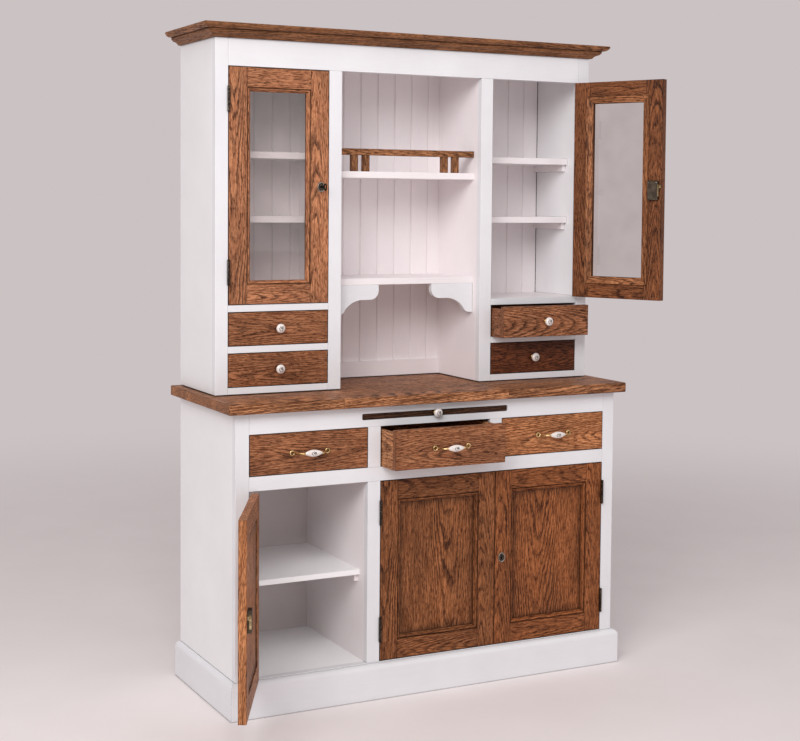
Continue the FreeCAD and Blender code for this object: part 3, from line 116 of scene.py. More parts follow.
def stained_oak(name, light, middle, dark, ring_mm=3.6, staves=False):
    """European oak, brushed and stained brown, with a thin satin lacquer.

    The soft earlywood of each year ring takes the stain darkest, so flat-sawn boards show arched lines, and
    the open pores lie along them as short dark dashes. The rings are drawn at 3.6 mm, not at about 2.5 mm,
    and the pores 3 mm wide, not 0.4 mm, so that they show at the size of the picture.
    """
    made, tree, out = new_material(name)
    board = node(tree, "Attribute", {"attribute_name": "grain"}).outputs["Vector"]
    tone = node(tree, "Attribute", {"attribute_name": "tone"}).outputs["Fac"]
    seam = None
    if staves:
        # The top is glued up from staves about 62 mm wide and half a metre long.
        apart = node(tree, "SeparateXYZ", inputs={"Vector": board})
        laid = node(tree, "CombineXYZ", inputs={"X": apart.outputs["Z"], "Y": apart.outputs["X"]})
        bond = node(
            tree,
            "TexBrick",
            {"offset": 0.37, "squash": 1.0},
            {
                "Vector": laid.outputs[0],
                "Color1": (0, 0, 0, 1),
                "Color2": (1, 1, 1, 1),
                "Mortar": (0.5, 0.5, 0.5, 1),
                "Scale": 1.0,
                "Mortar Size": 0.0006,
                "Mortar Smooth": 0.3,
                "Bias": 0.0,
                "Brick Width": 0.56,
                "Row Height": 0.062,
            },
        )
        seam = bond.outputs["Fac"]
        moved = node(
            tree, "VectorMath", {"operation": "MULTIPLY"}, {0: bond.outputs["Color"], 1: (0.21, 0.13, 3.1)}
        )
        board = node(tree, "VectorMath", {"operation": "ADD"}, {0: board, 1: moved.outputs[0]}).outputs[0]
        tone = node(
            tree, "Math", {"operation": "MULTIPLY_ADD"}, {0: bond.outputs["Color"], 1: 0.9, 2: 0.05}
        ).outputs[0]
    drawn = node(tree, "Mapping", inputs={"Vector": board, "Scale": (1.0, 1.0, 0.26)}).outputs[0]
    # The rings wander by up to a centimetre over the length of a board.
    wander = node(
        tree, "TexNoise", inputs={"Vector": drawn, "Scale": 11.0, "Detail": 2.0, "Roughness": 0.5}
    )
    shifted = node(
        tree, "VectorMath", {"operation": "MULTIPLY_ADD"},
        {0: wander.outputs["Color"], 1: (0.016, 0.016, 0.0), 2: drawn},
    )
    rings = node(
        tree,
        "TexWave",
        {"wave_type": "RINGS", "rings_direction": "Z", "wave_profile": "SAW"},
        {
            "Vector": shifted.outputs[0],
            "Scale": 314.0 / ring_mm,
            "Distortion": 3.4,
            "Detail": 3.0,
            "Detail Scale": 1.1,
            "Detail Roughness": 0.65,
        },
    )
    early = node(
        tree, "ValToRGB", inputs={"Fac": rings.outputs["Fac"]},
        stops=[(0.0, 0.1), (0.10, 1.0), (0.34, 0.75), (0.52, 0.05), (1.0, 0.0)],
    )
    # Rings stand out in one stretch of a board and fade in the next, a hand or two long.
    shown = node(tree, "Mapping", inputs={"Vector": board, "Scale": (14.0, 14.0, 4.0)}).outputs[0]
    fading = node(tree, "TexNoise", inputs={"Vector": shown, "Scale": 1.0, "Detail": 2.0, "Roughness": 0.5})
    strength = node(
        tree, "MapRange",
        inputs={"Value": fading.outputs["Fac"], IN_LOW: 0.35, IN_HIGH: 0.65, OUT_LOW: 0.25, OUT_HIGH: 0.95},
    )
    ring_mask = node(
        tree, "Math", {"operation": "MULTIPLY"}, {0: early.outputs["Color"], 1: strength.outputs[0]}
    )
    # Pores: dashes 3 mm wide and about 16 mm long.
    fine = node(tree, "Mapping", inputs={"Vector": board, "Scale": (320.0, 320.0, 62.0)}).outputs[0]
    dashes = node(tree, "TexNoise", inputs={"Vector": fine, "Scale": 1.0, "Detail": 1.0, "Roughness": 0.6})
    pores = node(tree, "ValToRGB", inputs={"Fac": dashes.outputs["Fac"]}, stops=[(0.49, 0.0), (0.58, 1.0)])
    gathered = node(
        tree, "Math", {"operation": "MULTIPLY_ADD"}, {0: early.outputs["Color"], 1: 0.42, 2: 0.48}
    )
    pore_mask = node(
        tree, "Math", {"operation": "MULTIPLY"}, {0: pores.outputs["Color"], 1: gathered.outputs[0]}
    )
    # Fibre: pale and dark streaks between the pores, 3 mm wide and a hand long.
    along = node(tree, "Mapping", inputs={"Vector": board, "Scale": (330.0, 330.0, 9.0)}).outputs[0]
    fibre = node(tree, "TexNoise", inputs={"Vector": along, "Scale": 1.0, "Detail": 3.0, "Roughness": 0.6})
    body = node(
        tree, "ValToRGB", inputs={"Fac": fibre.outputs["Fac"]}, stops=[(0.42, middle), (0.58, light)]
    )
    # Ray flecks: pale lens-shaped marks across the rings, which show where a board is cut on the quarter.
    across = node(tree, "Mapping", inputs={"Vector": board, "Scale": (62.0, 150.0, 40.0)}).outputs[0]
    flecks = node(
        tree, "TexNoise",
        inputs={"Vector": across, "Scale": 1.0, "Detail": 2.0, "Roughness": 0.45, "Distortion": 1.6},
    )
    fleck = node(
        tree, "ValToRGB", inputs={"Fac": flecks.outputs["Fac"]},
        stops=[(0.57, 0.0), (0.62, 1.0), (0.68, 0.0)],
    )
    ray = node(tree, "Attribute", {"attribute_name": "ray"}).outputs["Fac"]
    fleck_mask = node(tree, "Math", {"operation": "MULTIPLY"}, {0: fleck.outputs["Color"], 1: ray})
    stained = node(
        tree, "Mix", {"data_type": "RGBA"},
        {SHARE: ring_mask.outputs[0], UNDER: body.outputs["Color"], OVER: linear(dark)},
    )
    flecked = node(
        tree, "Mix", {"data_type": "RGBA"},
        {SHARE: fleck_mask.outputs[0], UNDER: stained.outputs[MIXED], OVER: linear(light)},
    )
    pored = node(
        tree, "Mix", {"data_type": "RGBA", "blend_type": "MULTIPLY"},
        {SHARE: pore_mask.outputs[0], UNDER: flecked.outputs[MIXED], OVER: (0.26, 0.17, 0.11, 1.0)},
    )
    # The stain takes in patches a hand wide, and each board has its own tone.
    wide = node(tree, "Mapping", inputs={"Vector": board, "Scale": (13.0, 13.0, 5.0)}).outputs[0]
    patches = node(tree, "TexNoise", inputs={"Vector": wide, "Scale": 1.0, "Detail": 4.0, "Roughness": 0.6})
    patch = node(
        tree, "MapRange",
        inputs={"Value": patches.outputs["Fac"], IN_LOW: 0.3, IN_HIGH: 0.7, OUT_LOW: 0.70, OUT_HIGH: 1.26},
    )
    own = node(
        tree, "MapRange", inputs={"Value": tone, IN_LOW: 0.0, IN_HIGH: 1.0, OUT_LOW: 0.91, OUT_HIGH: 1.09}
    )
    level = node(tree, "Math", {"operation": "MULTIPLY"}, {0: patch.outputs[0], 1: own.outputs[0]})
    # Darker along the edges of a board and in the corners round a sunk panel: partly stain that gathers
    # there, partly painted shade of the gaps and the sunk corners.
    distance = node(
        tree, "VectorMath", {"operation": "SUBTRACT"},
        {
            0: node(tree, "Attribute", {"attribute_name": "half"}).outputs["Vector"],
            1: node(
                tree, "VectorMath", {"operation": "ABSOLUTE"},
                {0: node(tree, "Attribute", {"attribute_name": "away"}).outputs["Vector"]},
            ).outputs[0],
        },
    )
    sides = node(tree, "SeparateXYZ", inputs={"Vector": distance.outputs[0]})
    # The nearest surface is the point's own, and the second nearest tells how far off its edge is.
    lesser = node(tree, "Math", {"operation": "MINIMUM"}, {0: sides.outputs["X"], 1: sides.outputs["Z"]})
    greater = node(tree, "Math", {"operation": "MAXIMUM"}, {0: sides.outputs["X"], 1: sides.outputs["Z"]})
    within = node(tree, "Math", {"operation": "MINIMUM"}, {0: greater.outputs[0], 1: sides.outputs["Y"]})
    nearest = node(tree, "Math", {"operation": "MAXIMUM"}, {0: lesser.outputs[0], 1: within.outputs[0]})
    wobble = node(
        tree, "Math", {"operation": "MULTIPLY_ADD"},
        {0: patches.outputs["Fac"], 1: 0.006, 2: nearest.outputs[0]},
    )
    edge_stain_and_shade = node(
        tree, "MapRange", {"interpolation_type": "SMOOTHSTEP"},
        {
            "Value": wobble.outputs[0],
            IN_LOW: 0.002,
            IN_HIGH: node(tree, "Attribute", {"attribute_name": "stain_and_shade_width"}).outputs["Fac"],
            OUT_LOW: 0.36,
            OUT_HIGH: 1.0,
        },
    )
    level = node(tree, "Math", {"operation": "MULTIPLY"}, {0: level.outputs[0], 1: edge_stain_and_shade.outputs[0]})
    # Painted shade: ambient occlusion darkens the colour in the grooves of a moulding, in corners and between
    # parts close together, 12 mm round.
    occlusion_shade = node(tree, "AmbientOcclusion", {"samples": 4}, {"Distance": 0.012})
    groove_shade = node(
        tree, "MapRange",
        inputs={"Value": occlusion_shade.outputs["AO"], IN_LOW: 0.25, IN_HIGH: 0.85, OUT_LOW: 0.22, OUT_HIGH: 1.0},
    )
    level = node(tree, "Math", {"operation": "MULTIPLY"}, {0: level.outputs[0], 1: groove_shade.outputs[0]})
    coloured = node(
        tree, "VectorMath", {"operation": "SCALE"}, {0: pored.outputs[MIXED], "Scale": level.outputs[0]}
    )
    final = coloured.outputs[0]
    if seam is not None:
        final = node(
            tree, "Mix", {"data_type": "RGBA"},
            {
                SHARE: node(tree, "Math", {"operation": "MULTIPLY"}, {0: seam, 1: 0.55}).outputs[0],
                UNDER: final,
                OVER: linear(dark),
            },
        ).outputs[MIXED]
    relief = node(
        tree, "Math", {"operation": "MULTIPLY_ADD"},
        {0: early.outputs["Color"], 1: 0.35, 2: pore_mask.outputs[0]},
    )
    bump = node(
        tree, "Bump", {"invert": True}, {"Strength": 0.55, "Distance": 0.0006, "Height": relief.outputs[0]}
    )
    gloss = node(
        tree, "MapRange",
        inputs={"Value": pore_mask.outputs[0], IN_LOW: 0.0, IN_HIGH: 1.0, OUT_LOW: 0.46, OUT_HIGH: 0.70},
    )
    shader = node(
        tree, "BsdfPrincipled",
        inputs={
            "Base Color": final,
            "Roughness": gloss.outputs[0],
            "IOR": 1.45,
            "Specular IOR Level": 0.22,
            "Normal": bump.outputs[0],
        },
    )
    tree.links.new(shader.outputs[0], out.inputs["Surface"])
    return made


def white_paint(name, thin, thick, gaps=False):
    """Water-based satin paint, sprayed in two coats on solid pine.

    It evens the wood out to a soft white, yet the run of the grain still shows as faint ridges where the
    light grazes it, drawn at 3 mm apart, and the coat is a little thicker in some places than in others.
    Where gaps is set, the colour is darkened by ambient occlusion in the narrow gaps round doors and drawers
    and in corners within 6 mm: painted shade.
    """
    made, tree, out = new_material(name)
    board = node(tree, "Attribute", {"attribute_name": "grain"}).outputs["Vector"]
    tone = node(tree, "Attribute", {"attribute_name": "tone"}).outputs["Fac"]
    long = node(tree, "Mapping", inputs={"Vector": board, "Scale": (330.0, 330.0, 7.0)}).outputs[0]
    ridges = node(tree, "TexNoise", inputs={"Vector": long, "Scale": 1.0, "Detail": 3.0, "Roughness": 0.6})
    cloud = node(tree, "TexNoise", inputs={"Vector": board, "Scale": 5.0, "Detail": 3.0, "Roughness": 0.55})
    coat = node(
        tree, "ValToRGB", inputs={"Fac": cloud.outputs["Fac"]}, stops=[(0.28, thin), (0.74, thick)]
    )
    streak = node(
        tree, "MapRange",
        inputs={"Value": ridges.outputs["Fac"], IN_LOW: 0.3, IN_HIGH: 0.7, OUT_LOW: 0.985, OUT_HIGH: 1.01},
    )
    own = node(
        tree, "MapRange",
        inputs={"Value": tone, IN_LOW: 0.0, IN_HIGH: 1.0, OUT_LOW: 0.985, OUT_HIGH: 1.005},
    )
    level = node(tree, "Math", {"operation": "MULTIPLY"}, {0: streak.outputs[0], 1: own.outputs[0]})
    if gaps:
        # Painted shade: ambient occlusion within 6 mm darkens the paint in gaps and corners.
        occlusion_shade = node(tree, "AmbientOcclusion", {"samples": 4}, {"Distance": 0.006})
        gap_shade = node(
            tree, "MapRange",
            inputs={"Value": occlusion_shade.outputs["AO"], IN_LOW: 0.2, IN_HIGH: 0.6, OUT_LOW: 0.05, OUT_HIGH: 1.0},
        )
        level = node(tree, "Math", {"operation": "MULTIPLY"}, {0: level.outputs[0], 1: gap_shade.outputs[0]})
    coloured = node(
        tree, "VectorMath", {"operation": "SCALE"}, {0: coat.outputs["Color"], "Scale": level.outputs[0]}
    )
    spray = node(
        tree, "TexNoise", inputs={"Vector": board, "Scale": 420.0, "Detail": 1.0, "Roughness": 0.5}
    )
    relief = node(
        tree, "Math", {"operation": "MULTIPLY_ADD"},
        {0: spray.outputs["Fac"], 1: 0.25, 2: ridges.outputs["Fac"]},
    )
    bump = node(tree, "Bump", inputs={"Strength": 0.3, "Distance": 0.0004, "Height": relief.outputs[0]})
    gloss = node(
        tree, "MapRange",
        inputs={"Value": cloud.outputs["Fac"], IN_LOW: 0.3, IN_HIGH: 0.7, OUT_LOW: 0.40, OUT_HIGH: 0.50},
    )
    shader = node(
        tree, "BsdfPrincipled",
        inputs={
            "Base Color": coloured.outputs[0],
            "Roughness": gloss.outputs[0],
            "IOR": 1.5,
            "Specular IOR Level": 0.4,
            "Normal": bump.outputs[0],
        },
    )
    tree.links.new(shader.outputs[0], out.inputs["Surface"])
    return made


def worn_metal(name, deep, bright, rough, grain_mm, share):
    """A cast or stamped metal with an aged surface: dark where the patina lies, bright where hands rub it.

    The patina lies in patches of grain_mm, and share says how much of it is rubbed bright.
    """
    made, tree, out = new_material(name)
    place = node(tree, "TexCoord").outputs["Object"]
    patina = node(
        tree, "TexNoise",
        inputs={"Vector": place, "Scale": 1000.0 / grain_mm, "Detail": 3.0, "Roughness": 0.62},
    )
    rubbed = node(
        tree, "ValToRGB", inputs={"Fac": patina.outputs["Fac"]},
        stops=[(max(0.0, 0.62 - share), deep), (min(1.0, 0.86 - share), bright)],
    )
    grit = node(tree, "TexNoise", inputs={"Vector": place, "Scale": 2600.0, "Detail": 1.0})
    bump = node(tree, "Bump", inputs={"Strength": 0.35, "Distance": 0.00015, "Height": grit.outputs["Fac"]})
    gloss = node(
        tree, "MapRange",
        inputs={
            "Value": patina.outputs["Fac"],
            IN_LOW: 0.3,
            IN_HIGH: 0.7,
            OUT_LOW: rough + 0.14,
            OUT_HIGH: rough - 0.06,
        },
    )
    shader = node(
        tree, "BsdfPrincipled",
        inputs={
            "Base Color": rubbed.outputs["Color"],
            "Metallic": 1.0,
            "Roughness": gloss.outputs[0],
            "Normal": bump.outputs[0],
        },
    )
    tree.links.new(shader.outputs[0], out.inputs["Surface"])
    return made


def glazed_porcelain():
    """Slip-cast porcelain under a clear glaze, with a small sprig in grey brush strokes on its middle.

    The glaze gives it a sharp, bright highlight, and it is a warm white, a little uneven where it pools.
    """
    made, tree, out = new_material("glazed_porcelain")
    spot = node(tree, "Attribute", {"attribute_name": "spot"}).outputs["Vector"]
    cloud = node(tree, "TexNoise", inputs={"Vector": spot, "Scale": 90.0, "Detail": 2.0})
    white = node(
        tree, "ValToRGB", inputs={"Fac": cloud.outputs["Fac"]}, stops=[(0.3, "#e0d6d0"), (0.7, "#eee6e0")]
    )
    # The sprig lies in an oval 20 mm wide on a grip and 17 mm wide on a knob, as loose strokes 2 mm thick.
    scaled = node(
        tree, "VectorMath", {"operation": "MULTIPLY"}, {0: spot, 1: (1 / 0.0100, 0.0, 1 / 0.0060)}
    )
    away = node(tree, "VectorMath", {"operation": "LENGTH"}, {0: scaled.outputs[0]})
    oval = node(
        tree, "MapRange",
        inputs={"Value": away.outputs["Value"], IN_LOW: 0.8, IN_HIGH: 1.05, OUT_LOW: 1.0, OUT_HIGH: 0.0},
    )
    flat = node(tree, "VectorMath", {"operation": "MULTIPLY"}, {0: spot, 1: (1.0, 0.0, 1.0)})
    curls = node(
        tree, "TexNoise",
        inputs={"Vector": flat.outputs[0], "Scale": 215.0, "Detail": 0.0, "Distortion": 1.2},
    )
    stroke = node(
        tree, "ValToRGB", inputs={"Fac": curls.outputs["Fac"]},
        stops=[(0.35, 0.0), (0.38, 1.0), (0.56, 1.0), (0.59, 0.0)],
    )
    front = node(tree, "Attribute", {"attribute_name": "painted"}).outputs["Fac"]
    drawn = node(tree, "Math", {"operation": "MULTIPLY"}, {0: stroke.outputs["Color"], 1: oval.outputs[0]})
    drawn = node(tree, "Math", {"operation": "MULTIPLY"}, {0: drawn.outputs[0], 1: front})
    colour = node(
        tree, "Mix", {"data_type": "RGBA"},
        {SHARE: drawn.outputs[0], UNDER: white.outputs["Color"], OVER: linear("#332c2a")},
    )
    shader = node(
        tree, "BsdfPrincipled",
        inputs={
            "Base Color": colour.outputs[MIXED],
            "Roughness": 0.14,
            "IOR": 1.52,
            "Coat Weight": 0.6,
            "Coat Roughness": 0.05,
        },
    )
    tree.links.new(shader.outputs[0], out.inputs["Surface"])
    return made


def clear_glass():
    """Float glass 3 mm thick: clear, faintly grey, with a very slight waviness in what it reflects."""
    made, tree, out = new_material("clear_float_glass")
    place = node(tree, "TexCoord").outputs["Object"]
    wave = node(tree, "TexNoise", inputs={"Vector": place, "Scale": 14.0, "Detail": 1.0})
    bump = node(tree, "Bump", inputs={"Strength": 0.08, "Distance": 0.0006, "Height": wave.outputs["Fac"]})
    haze = node(
        tree, "ValToRGB", inputs={"Fac": wave.outputs["Fac"]}, stops=[(0.3, "#e0dbd9"), (0.7, "#e8e2e1")]
    )
    glass = node(
        tree, "BsdfPrincipled",
        inputs={
            "Base Color": haze.outputs["Color"],
            "Roughness": 0.01,
            "IOR": 1.5,
            "Transmission Weight": 1.0,
            "Normal": bump.outputs[0],
        },
    )
    # Light passes the pane with a small loss and casts no hard shadow.
    passed = node(tree, "BsdfTransparent", inputs={"Color": linear("#e2e3e3")})
    ray = node(tree, "LightPath")
    both = node(
        tree, "MixShader",
        inputs={0: ray.outputs["Is Shadow Ray"], 1: glass.outputs[0], 2: passed.outputs[0]},
    )
    tree.links.new(both.outputs[0], out.inputs["Surface"])
    return made


def pressed_felt():
    """Dark wool felt, pressed and cut in discs: matt, with short fibres that break up its edge."""
    made, tree, out = new_material("pressed_felt")
    place = node(tree, "TexCoord").outputs["Object"]
    fuzz = node(tree, "TexNoise", inputs={"Vector": place, "Scale": 900.0, "Detail": 4.0, "Roughness": 0.7})
    tint = node(
        tree, "ValToRGB", inputs={"Fac": fuzz.outputs["Fac"]}, stops=[(0.3, "#201d1c"), (0.7, "#3c3734")]
    )
    bump = node(tree, "Bump", inputs={"Strength": 0.6, "Distance": 0.0004, "Height": fuzz.outputs["Fac"]})
    shader = node(
        tree, "BsdfPrincipled",
        inputs={"Base Color": tint.outputs["Color"], "Roughness": 0.95, "Normal": bump.outputs[0]},
    )
    tree.links.new(shader.outputs[0], out.inputs["Surface"])
    return made


# The paints and the oaks are copies of one white paint and of one stain, made lighter or darker part by part:
# some of that is the tone of a part, and some is painted light and shade, as said below.
PAINT = white_paint("satin_paint_on_pine", "#ecebec", "#f2f1f2", gaps=True)
# Darker than the paint on the sides, to tone down the light on the front faces: painted shade.
PAINT_FRONT = white_paint("satin_paint_on_the_face_frames", "#e1e0e3", "#e8e8ea", gaps=True)
# Greyer and darker: painted shade on the back panel, deep inside the base.
PAINT_BACK_SHADED = white_paint("satin_paint_on_the_thin_back_panel", "#d3cbc9", "#dad2d0")
# Pinker than the outside paint: painted warm bounce light inside the cabinet.
PAINT_INSIDE = white_paint("satin_paint_inside", "#efe8e9", "#f5eeef")
# Lighter than the other paints: painted light on the base floor board and shelf.
PAINT_LEVEL_LIT = white_paint("satin_paint_on_the_base_shelf_and_floor", "#f8f7f7", "#fcfbfb")
OAK_UPPER = stained_oak("oak_of_the_upper_left_door", "#c3865f", "#a56a49", "#5f3c29")
# Darker than the other doors: painted shade on the open upper right door.
OAK_INNER_SHADED = stained_oak("oak_of_the_upper_right_door", "#935c3a", "#744325", "#3f2211")
OAK_LOWER = stained_oak("oak_of_the_lower_middle_door", "#9c643f", "#784625", "#42220f")
OAK_RIGHT = stained_oak("oak_of_the_lower_right_door", "#a9683e", "#824a27", "#482410")
# Lighter than the other doors: painted light on the open lower left door, whose face turns from the lamps.
OAK_OPEN_LIT = stained_oak("oak_of_the_open_lower_door", "#cb8a5c", "#a3663f", "#5a351d")
OAK_FRONT = stained_oak("oak_of_the_drawers", "#ab7350", "#855133", "#4f2e1b")
OAK_LIGHT = stained_oak("oak_of_the_large_right_drawer", "#ca8a5c", "#9b5f3a", "#59331d")
OAK_SLIP = stained_oak("oak_of_the_upper_right_mouldings", "#b27850", "#895433", "#502e1b")
OAK_BOX = stained_oak("oak_of_the_drawer_boxes", "#d39768", "#a86d46", "#6e4429")
OAK_SHADE = stained_oak("oak_of_the_lowest_right_drawer", "#7a4428", "#552b16", "#2c1409")
OAK_TOP = stained_oak("oak_of_the_worktop", "#cc8e63", "#784728", "#2e190c", ring_mm=4.5, staves=True)
OAK_TRIM = stained_oak("oak_of_the_trim", "#ab7650", "#835535", "#472813", ring_mm=3.2)
# Darker than the drawer fronts: partly painted shade of the slot the board lies in.
OAK_DARK = stained_oak("oak_of_the_pull_out_board", "#5a3a25", "#452a19", "#27170d")
PATINA = worn_metal("blackened_brass", "#3a3530", "#776e64", 0.45, 4.0, 0.14)
PEWTER = worn_metal("aged_pewter", "#6a635b", "#c8c0b4", 0.34, 4.0, 0.24)
BRONZE = worn_metal("dark_bronze", "#322a25", "#75675a", 0.42, 7.0, 0.14)
BRASS = worn_metal("aged_brass", "#a57a36", "#e6c07a", 0.26, 12.0, 0.24)
ANTIQUE = worn_metal("antique_brass", "#8a6833", "#f2d29a", 0.36, 9.0, 0.26)
PLATE = worn_metal("dull_brass", "#8d7a58", "#c8b48c", 0.42, 14.0, 0.2)
CASE = worn_metal("browned_steel", "#50473d", "#6c6153", 0.50, 22.0, 0.16)
STEEL = worn_metal("dark_steel", "#4a4744", "#9a948c", 0.32, 5.0, 0.16)
IRON = worn_metal("blackened_iron", "#1c1917", "#5a524a", 0.40, 3.0, 0.08)
# Near-black, for the disc in the keyhole: painted shade.
KEYHOLE_SHADE = worn_metal("black_keyhole_shade", "#050505", "#0d0c0b", 0.70, 3.0, 0.10)
PORCELAIN = glazed_porcelain()
GLASS = clear_glass()
FELT = pressed_felt()


# Meshes

def body_of(node_name):
    """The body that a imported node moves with."""
    return frame["nodes"][node_name]["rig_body"]


def extent(points):
    """The lowest and highest corner of a cloud of points."""
    points = list(points)
    return (
        Vector([min(point[i] for point in points) for i in range(3)]),
        Vector([max(point[i] for point in points) for i in range(3)]),
    )


def corners(faces):
    """The points of some faces, each once and in a fixed order, so that every run gives the same mesh."""
    return list(dict.fromkeys(vert for face in faces for vert in face.verts))


def opened(body):
    """How a body stands at rest from its closed place: a turn about its hinge pin, or none."""
    for joint in frame["joints"]:
        if joint["child"] == body and joint["type"] == "hinge" and abs(joint["axis"][2]) > 0.5:
            pin = Matrix.Translation(Vector(joint["pos_m"]))
            turned = Matrix.Rotation(-math.radians(joint["range_deg"][0]) * joint["axis"][2], 4, "Z")
            return pin @ turned @ pin.inverted()
    return Matrix.Identity(4)


def closed_groups(made):
    """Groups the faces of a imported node: a group is full where all its edges have met their neighbours."""
    groups, group, open_edges = [], [], set()
    for face in made.faces:
        group.append(face)
        places = [tuple(vert.co) for vert in face.verts]
        for here, there in zip(places, places[1:] + places[:1]):
            if (there, here) in open_edges:
                open_edges.discard((there, here))
            else:
                open_edges.add((here, there))
        if not open_edges:
            groups.append(group)
            group = []
    if group:
        groups.append(group)
    return groups


def linked_groups(made):
    """Groups the vertices of a mesh by board or casting: those that hang together."""
    made.verts.index_update()
    seen = [False] * len(made.verts)
    groups = []
    for first in made.verts:
        if seen[first.index]:
            continue
        seen[first.index] = True
        group = [first]
        for vert in group:
            for edge in vert.link_edges:
                other = edge.other_vert(vert)
                if not seen[other.index]:
                    seen[other.index] = True
                    group.append(other)
        groups.append(group)
    return groups


# The nodes with mitred sticks round a panel or a pane, and the profile along the splayed front of a stick:
# how deep it lies, in mm, at thirteen places across. It has a quirk next to the frame, a round, and a step
# down to a flat lip.
MOULDED = ("door_frame", "door_mouldings")
MOULDING = (1.5, 4.4, 4.4, 1.8, 1.2, 1.2, 1.7, 2.6, 4.2, 7.4, 7.4, 7.0, 8.0)

# A splay leans back from the front by 18 to 37 degrees, along x or along z and not along both: the sum of
# what its normal has along x, y and z stays under the limit.
SPLAY = (-0.95, -0.8)
ONE_WAY = 1.4


def run_mouldings(made, place):
    """Runs the profile along each mitred stick round a panel or a pane, and gives back the sticks' points.

    The points move only straight in and out, so the mitres stay shut.
    """
    shut = place.inverted()
    turned = shut.to_3x3()
    splays = []
    for face in made.faces:
        normal = turned @ face.normal
        one_way = abs(normal.x) + abs(normal.y) + abs(normal.z) < ONE_WAY
        if len(face.verts) == 4 and SPLAY[0] < normal.y < SPLAY[1] and one_way:
            splays.append(face)
    moulded = set()
    for face in splays:
        depths = [(shut @ vert.co).y for vert in face.verts]
        front, back = min(depths), max(depths)
        if back - front < 2 * MM:
            continue
        ends = sorted(face.edges, key=lambda edge: edge.calc_length())[:2]
        cut = bmesh.ops.subdivide_edges(made, edges=ends, cuts=len(MOULDING) - 2)
        for vert in {item for item in cut["geom_inner"] if isinstance(item, bmesh.types.BMVert)}:
            point = shut @ vert.co
            across = (point.y - front) / (back - front) * (len(MOULDING) - 1)
            point.y = front - MOULDING[0] * MM + MOULDING[round(across)] * MM
            vert.co = place @ point
            moulded.add(vert)
    return moulded


# Points closer than a micrometre are merged, faces in one plane are joined, and sharp edges are eased.
MERGED = 1e-6
FLAT = math.radians(0.4)
SHARP = math.radians(28)


def solid_copy(node_name, arris=0.0, finish_of=None):
    """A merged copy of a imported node, one closed shell for each of its solids, its sharp edges eased.

    finish_of gives a solid's finish from its number and its faces.
    """
    made = bmesh.new()
    made.from_mesh(frame["nodes"][node_name].data)
    for index, faces in enumerate(closed_groups(made)):
        for face in faces:
            face.material_index = finish_of(index, faces) if finish_of else 0
        bmesh.ops.remove_doubles(made, verts=corners(faces), dist=MERGED)
    bmesh.ops.dissolve_limit(
        made, angle_limit=FLAT, verts=made.verts, edges=made.edges, delimit={"MATERIAL"}
    )
    bmesh.ops.recalc_face_normals(made, faces=made.faces)
    moulded = run_mouldings(made, opened(body_of(node_name))) if node_name.endswith(MOULDED) else set()
    if arris:
        for group in linked_groups(made):
            if moulded.intersection(group):
                continue
            sharp = dict.fromkeys(
                edge for vert in group for edge in vert.link_edges
                if edge.is_manifold and edge.calc_face_angle() > SHARP
            )
            bmesh.ops.bevel(
                made, geom=list(sharp), offset=arris, offset_type="OFFSET", affect="EDGES", segments=2,
                profile=0.5, material=-1, clamp_overlap=True,
            )
    return made


def lay_grain(made, name, shut, stain_and_shade_width):
    """Gives every board its own run of grain: a place in the log, in metres, and a tone.

    The grain follows the longest side. The pith lies behind the board, by 12 to 50 mm and up to a quarter of
    its width, and leans by 3 to 7.5 percent, so that the rings arch. Each point also knows how far it is from
    the middle of its board and how large the board is, because the colour darkens along the edges, over a
    width given in metres: partly stain that gathers there, partly painted shade.
    """
    layers = made.verts.layers
    grain, away_from, half = (layers.float_vector.new(word) for word in ("grain", "away", "half"))
    tone, ray, rim = (layers.float.new(word) for word in ("tone", "ray", "stain_and_shade_width"))
    for group in linked_groups(made):
        points = [shut @ vert.co for vert in group]
        low, high = extent(points)
        size, middle = high - low, (low + high) / 2
        thick, wide, long = sorted(range(3), key=lambda i: size[i])
        dice = random.Random(f"{name} {[round(value, 3) for value in middle]}")
        side = dice.choice((-1, 1))
        pith = dice.uniform(0.012, 0.05) + 0.25 * size[wide] * dice.uniform(0.2, 1.0)
        askew = dice.choice((-1, 1)) * dice.uniform(0.03, 0.075)
        aside = dice.uniform(-0.22, 0.22) * size[wide]
        start = dice.uniform(0.0, 6.0)
        own, quarter = dice.random(), max(0.0, dice.uniform(-0.5, 0.6))
        for vert, point in zip(group, points):
            away = point - middle
            vert[grain] = (
                away[wide] + aside,
                side * away[thick] + pith + askew * away[long],
                away[long] + start,
            )
            vert[away_from] = (away[wide], away[thick], away[long])
            vert[half] = (size[wide] / 2, size[thick] / 2, size[long] / 2)
            vert[tone] = own
            vert[ray] = quarter
            vert[rim] = stain_and_shade_width


def finished(made, name, body, finishes, slot, *stands_for, smooth=30):
    """Turns a bmesh into a piece that rides its body, stands for its nodes and carries its finishes."""
    mesh = bpy.data.meshes.new(name)
    made.to_mesh(mesh)
    made.free()
    for face in mesh.polygons:
        face.use_smooth = True
    mesh.set_sharp_from_angle(angle=math.radians(smooth))
    for finish in finishes:
        mesh.materials.append(finish)
    piece = bpy.data.objects.new(name, mesh)
    bpy.context.scene.collection.objects.link(piece)
    weighted = piece.modifiers.new("flat_faces", "WEIGHTED_NORMAL")
    weighted.keep_sharp = True
    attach(piece, body)
    if stands_for:
        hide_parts(*stands_for)
    return piece


# A drawer's front is thinner than this, and the boards of its box have their middles behind it.
FRONT_DEPTH = 30 * MM


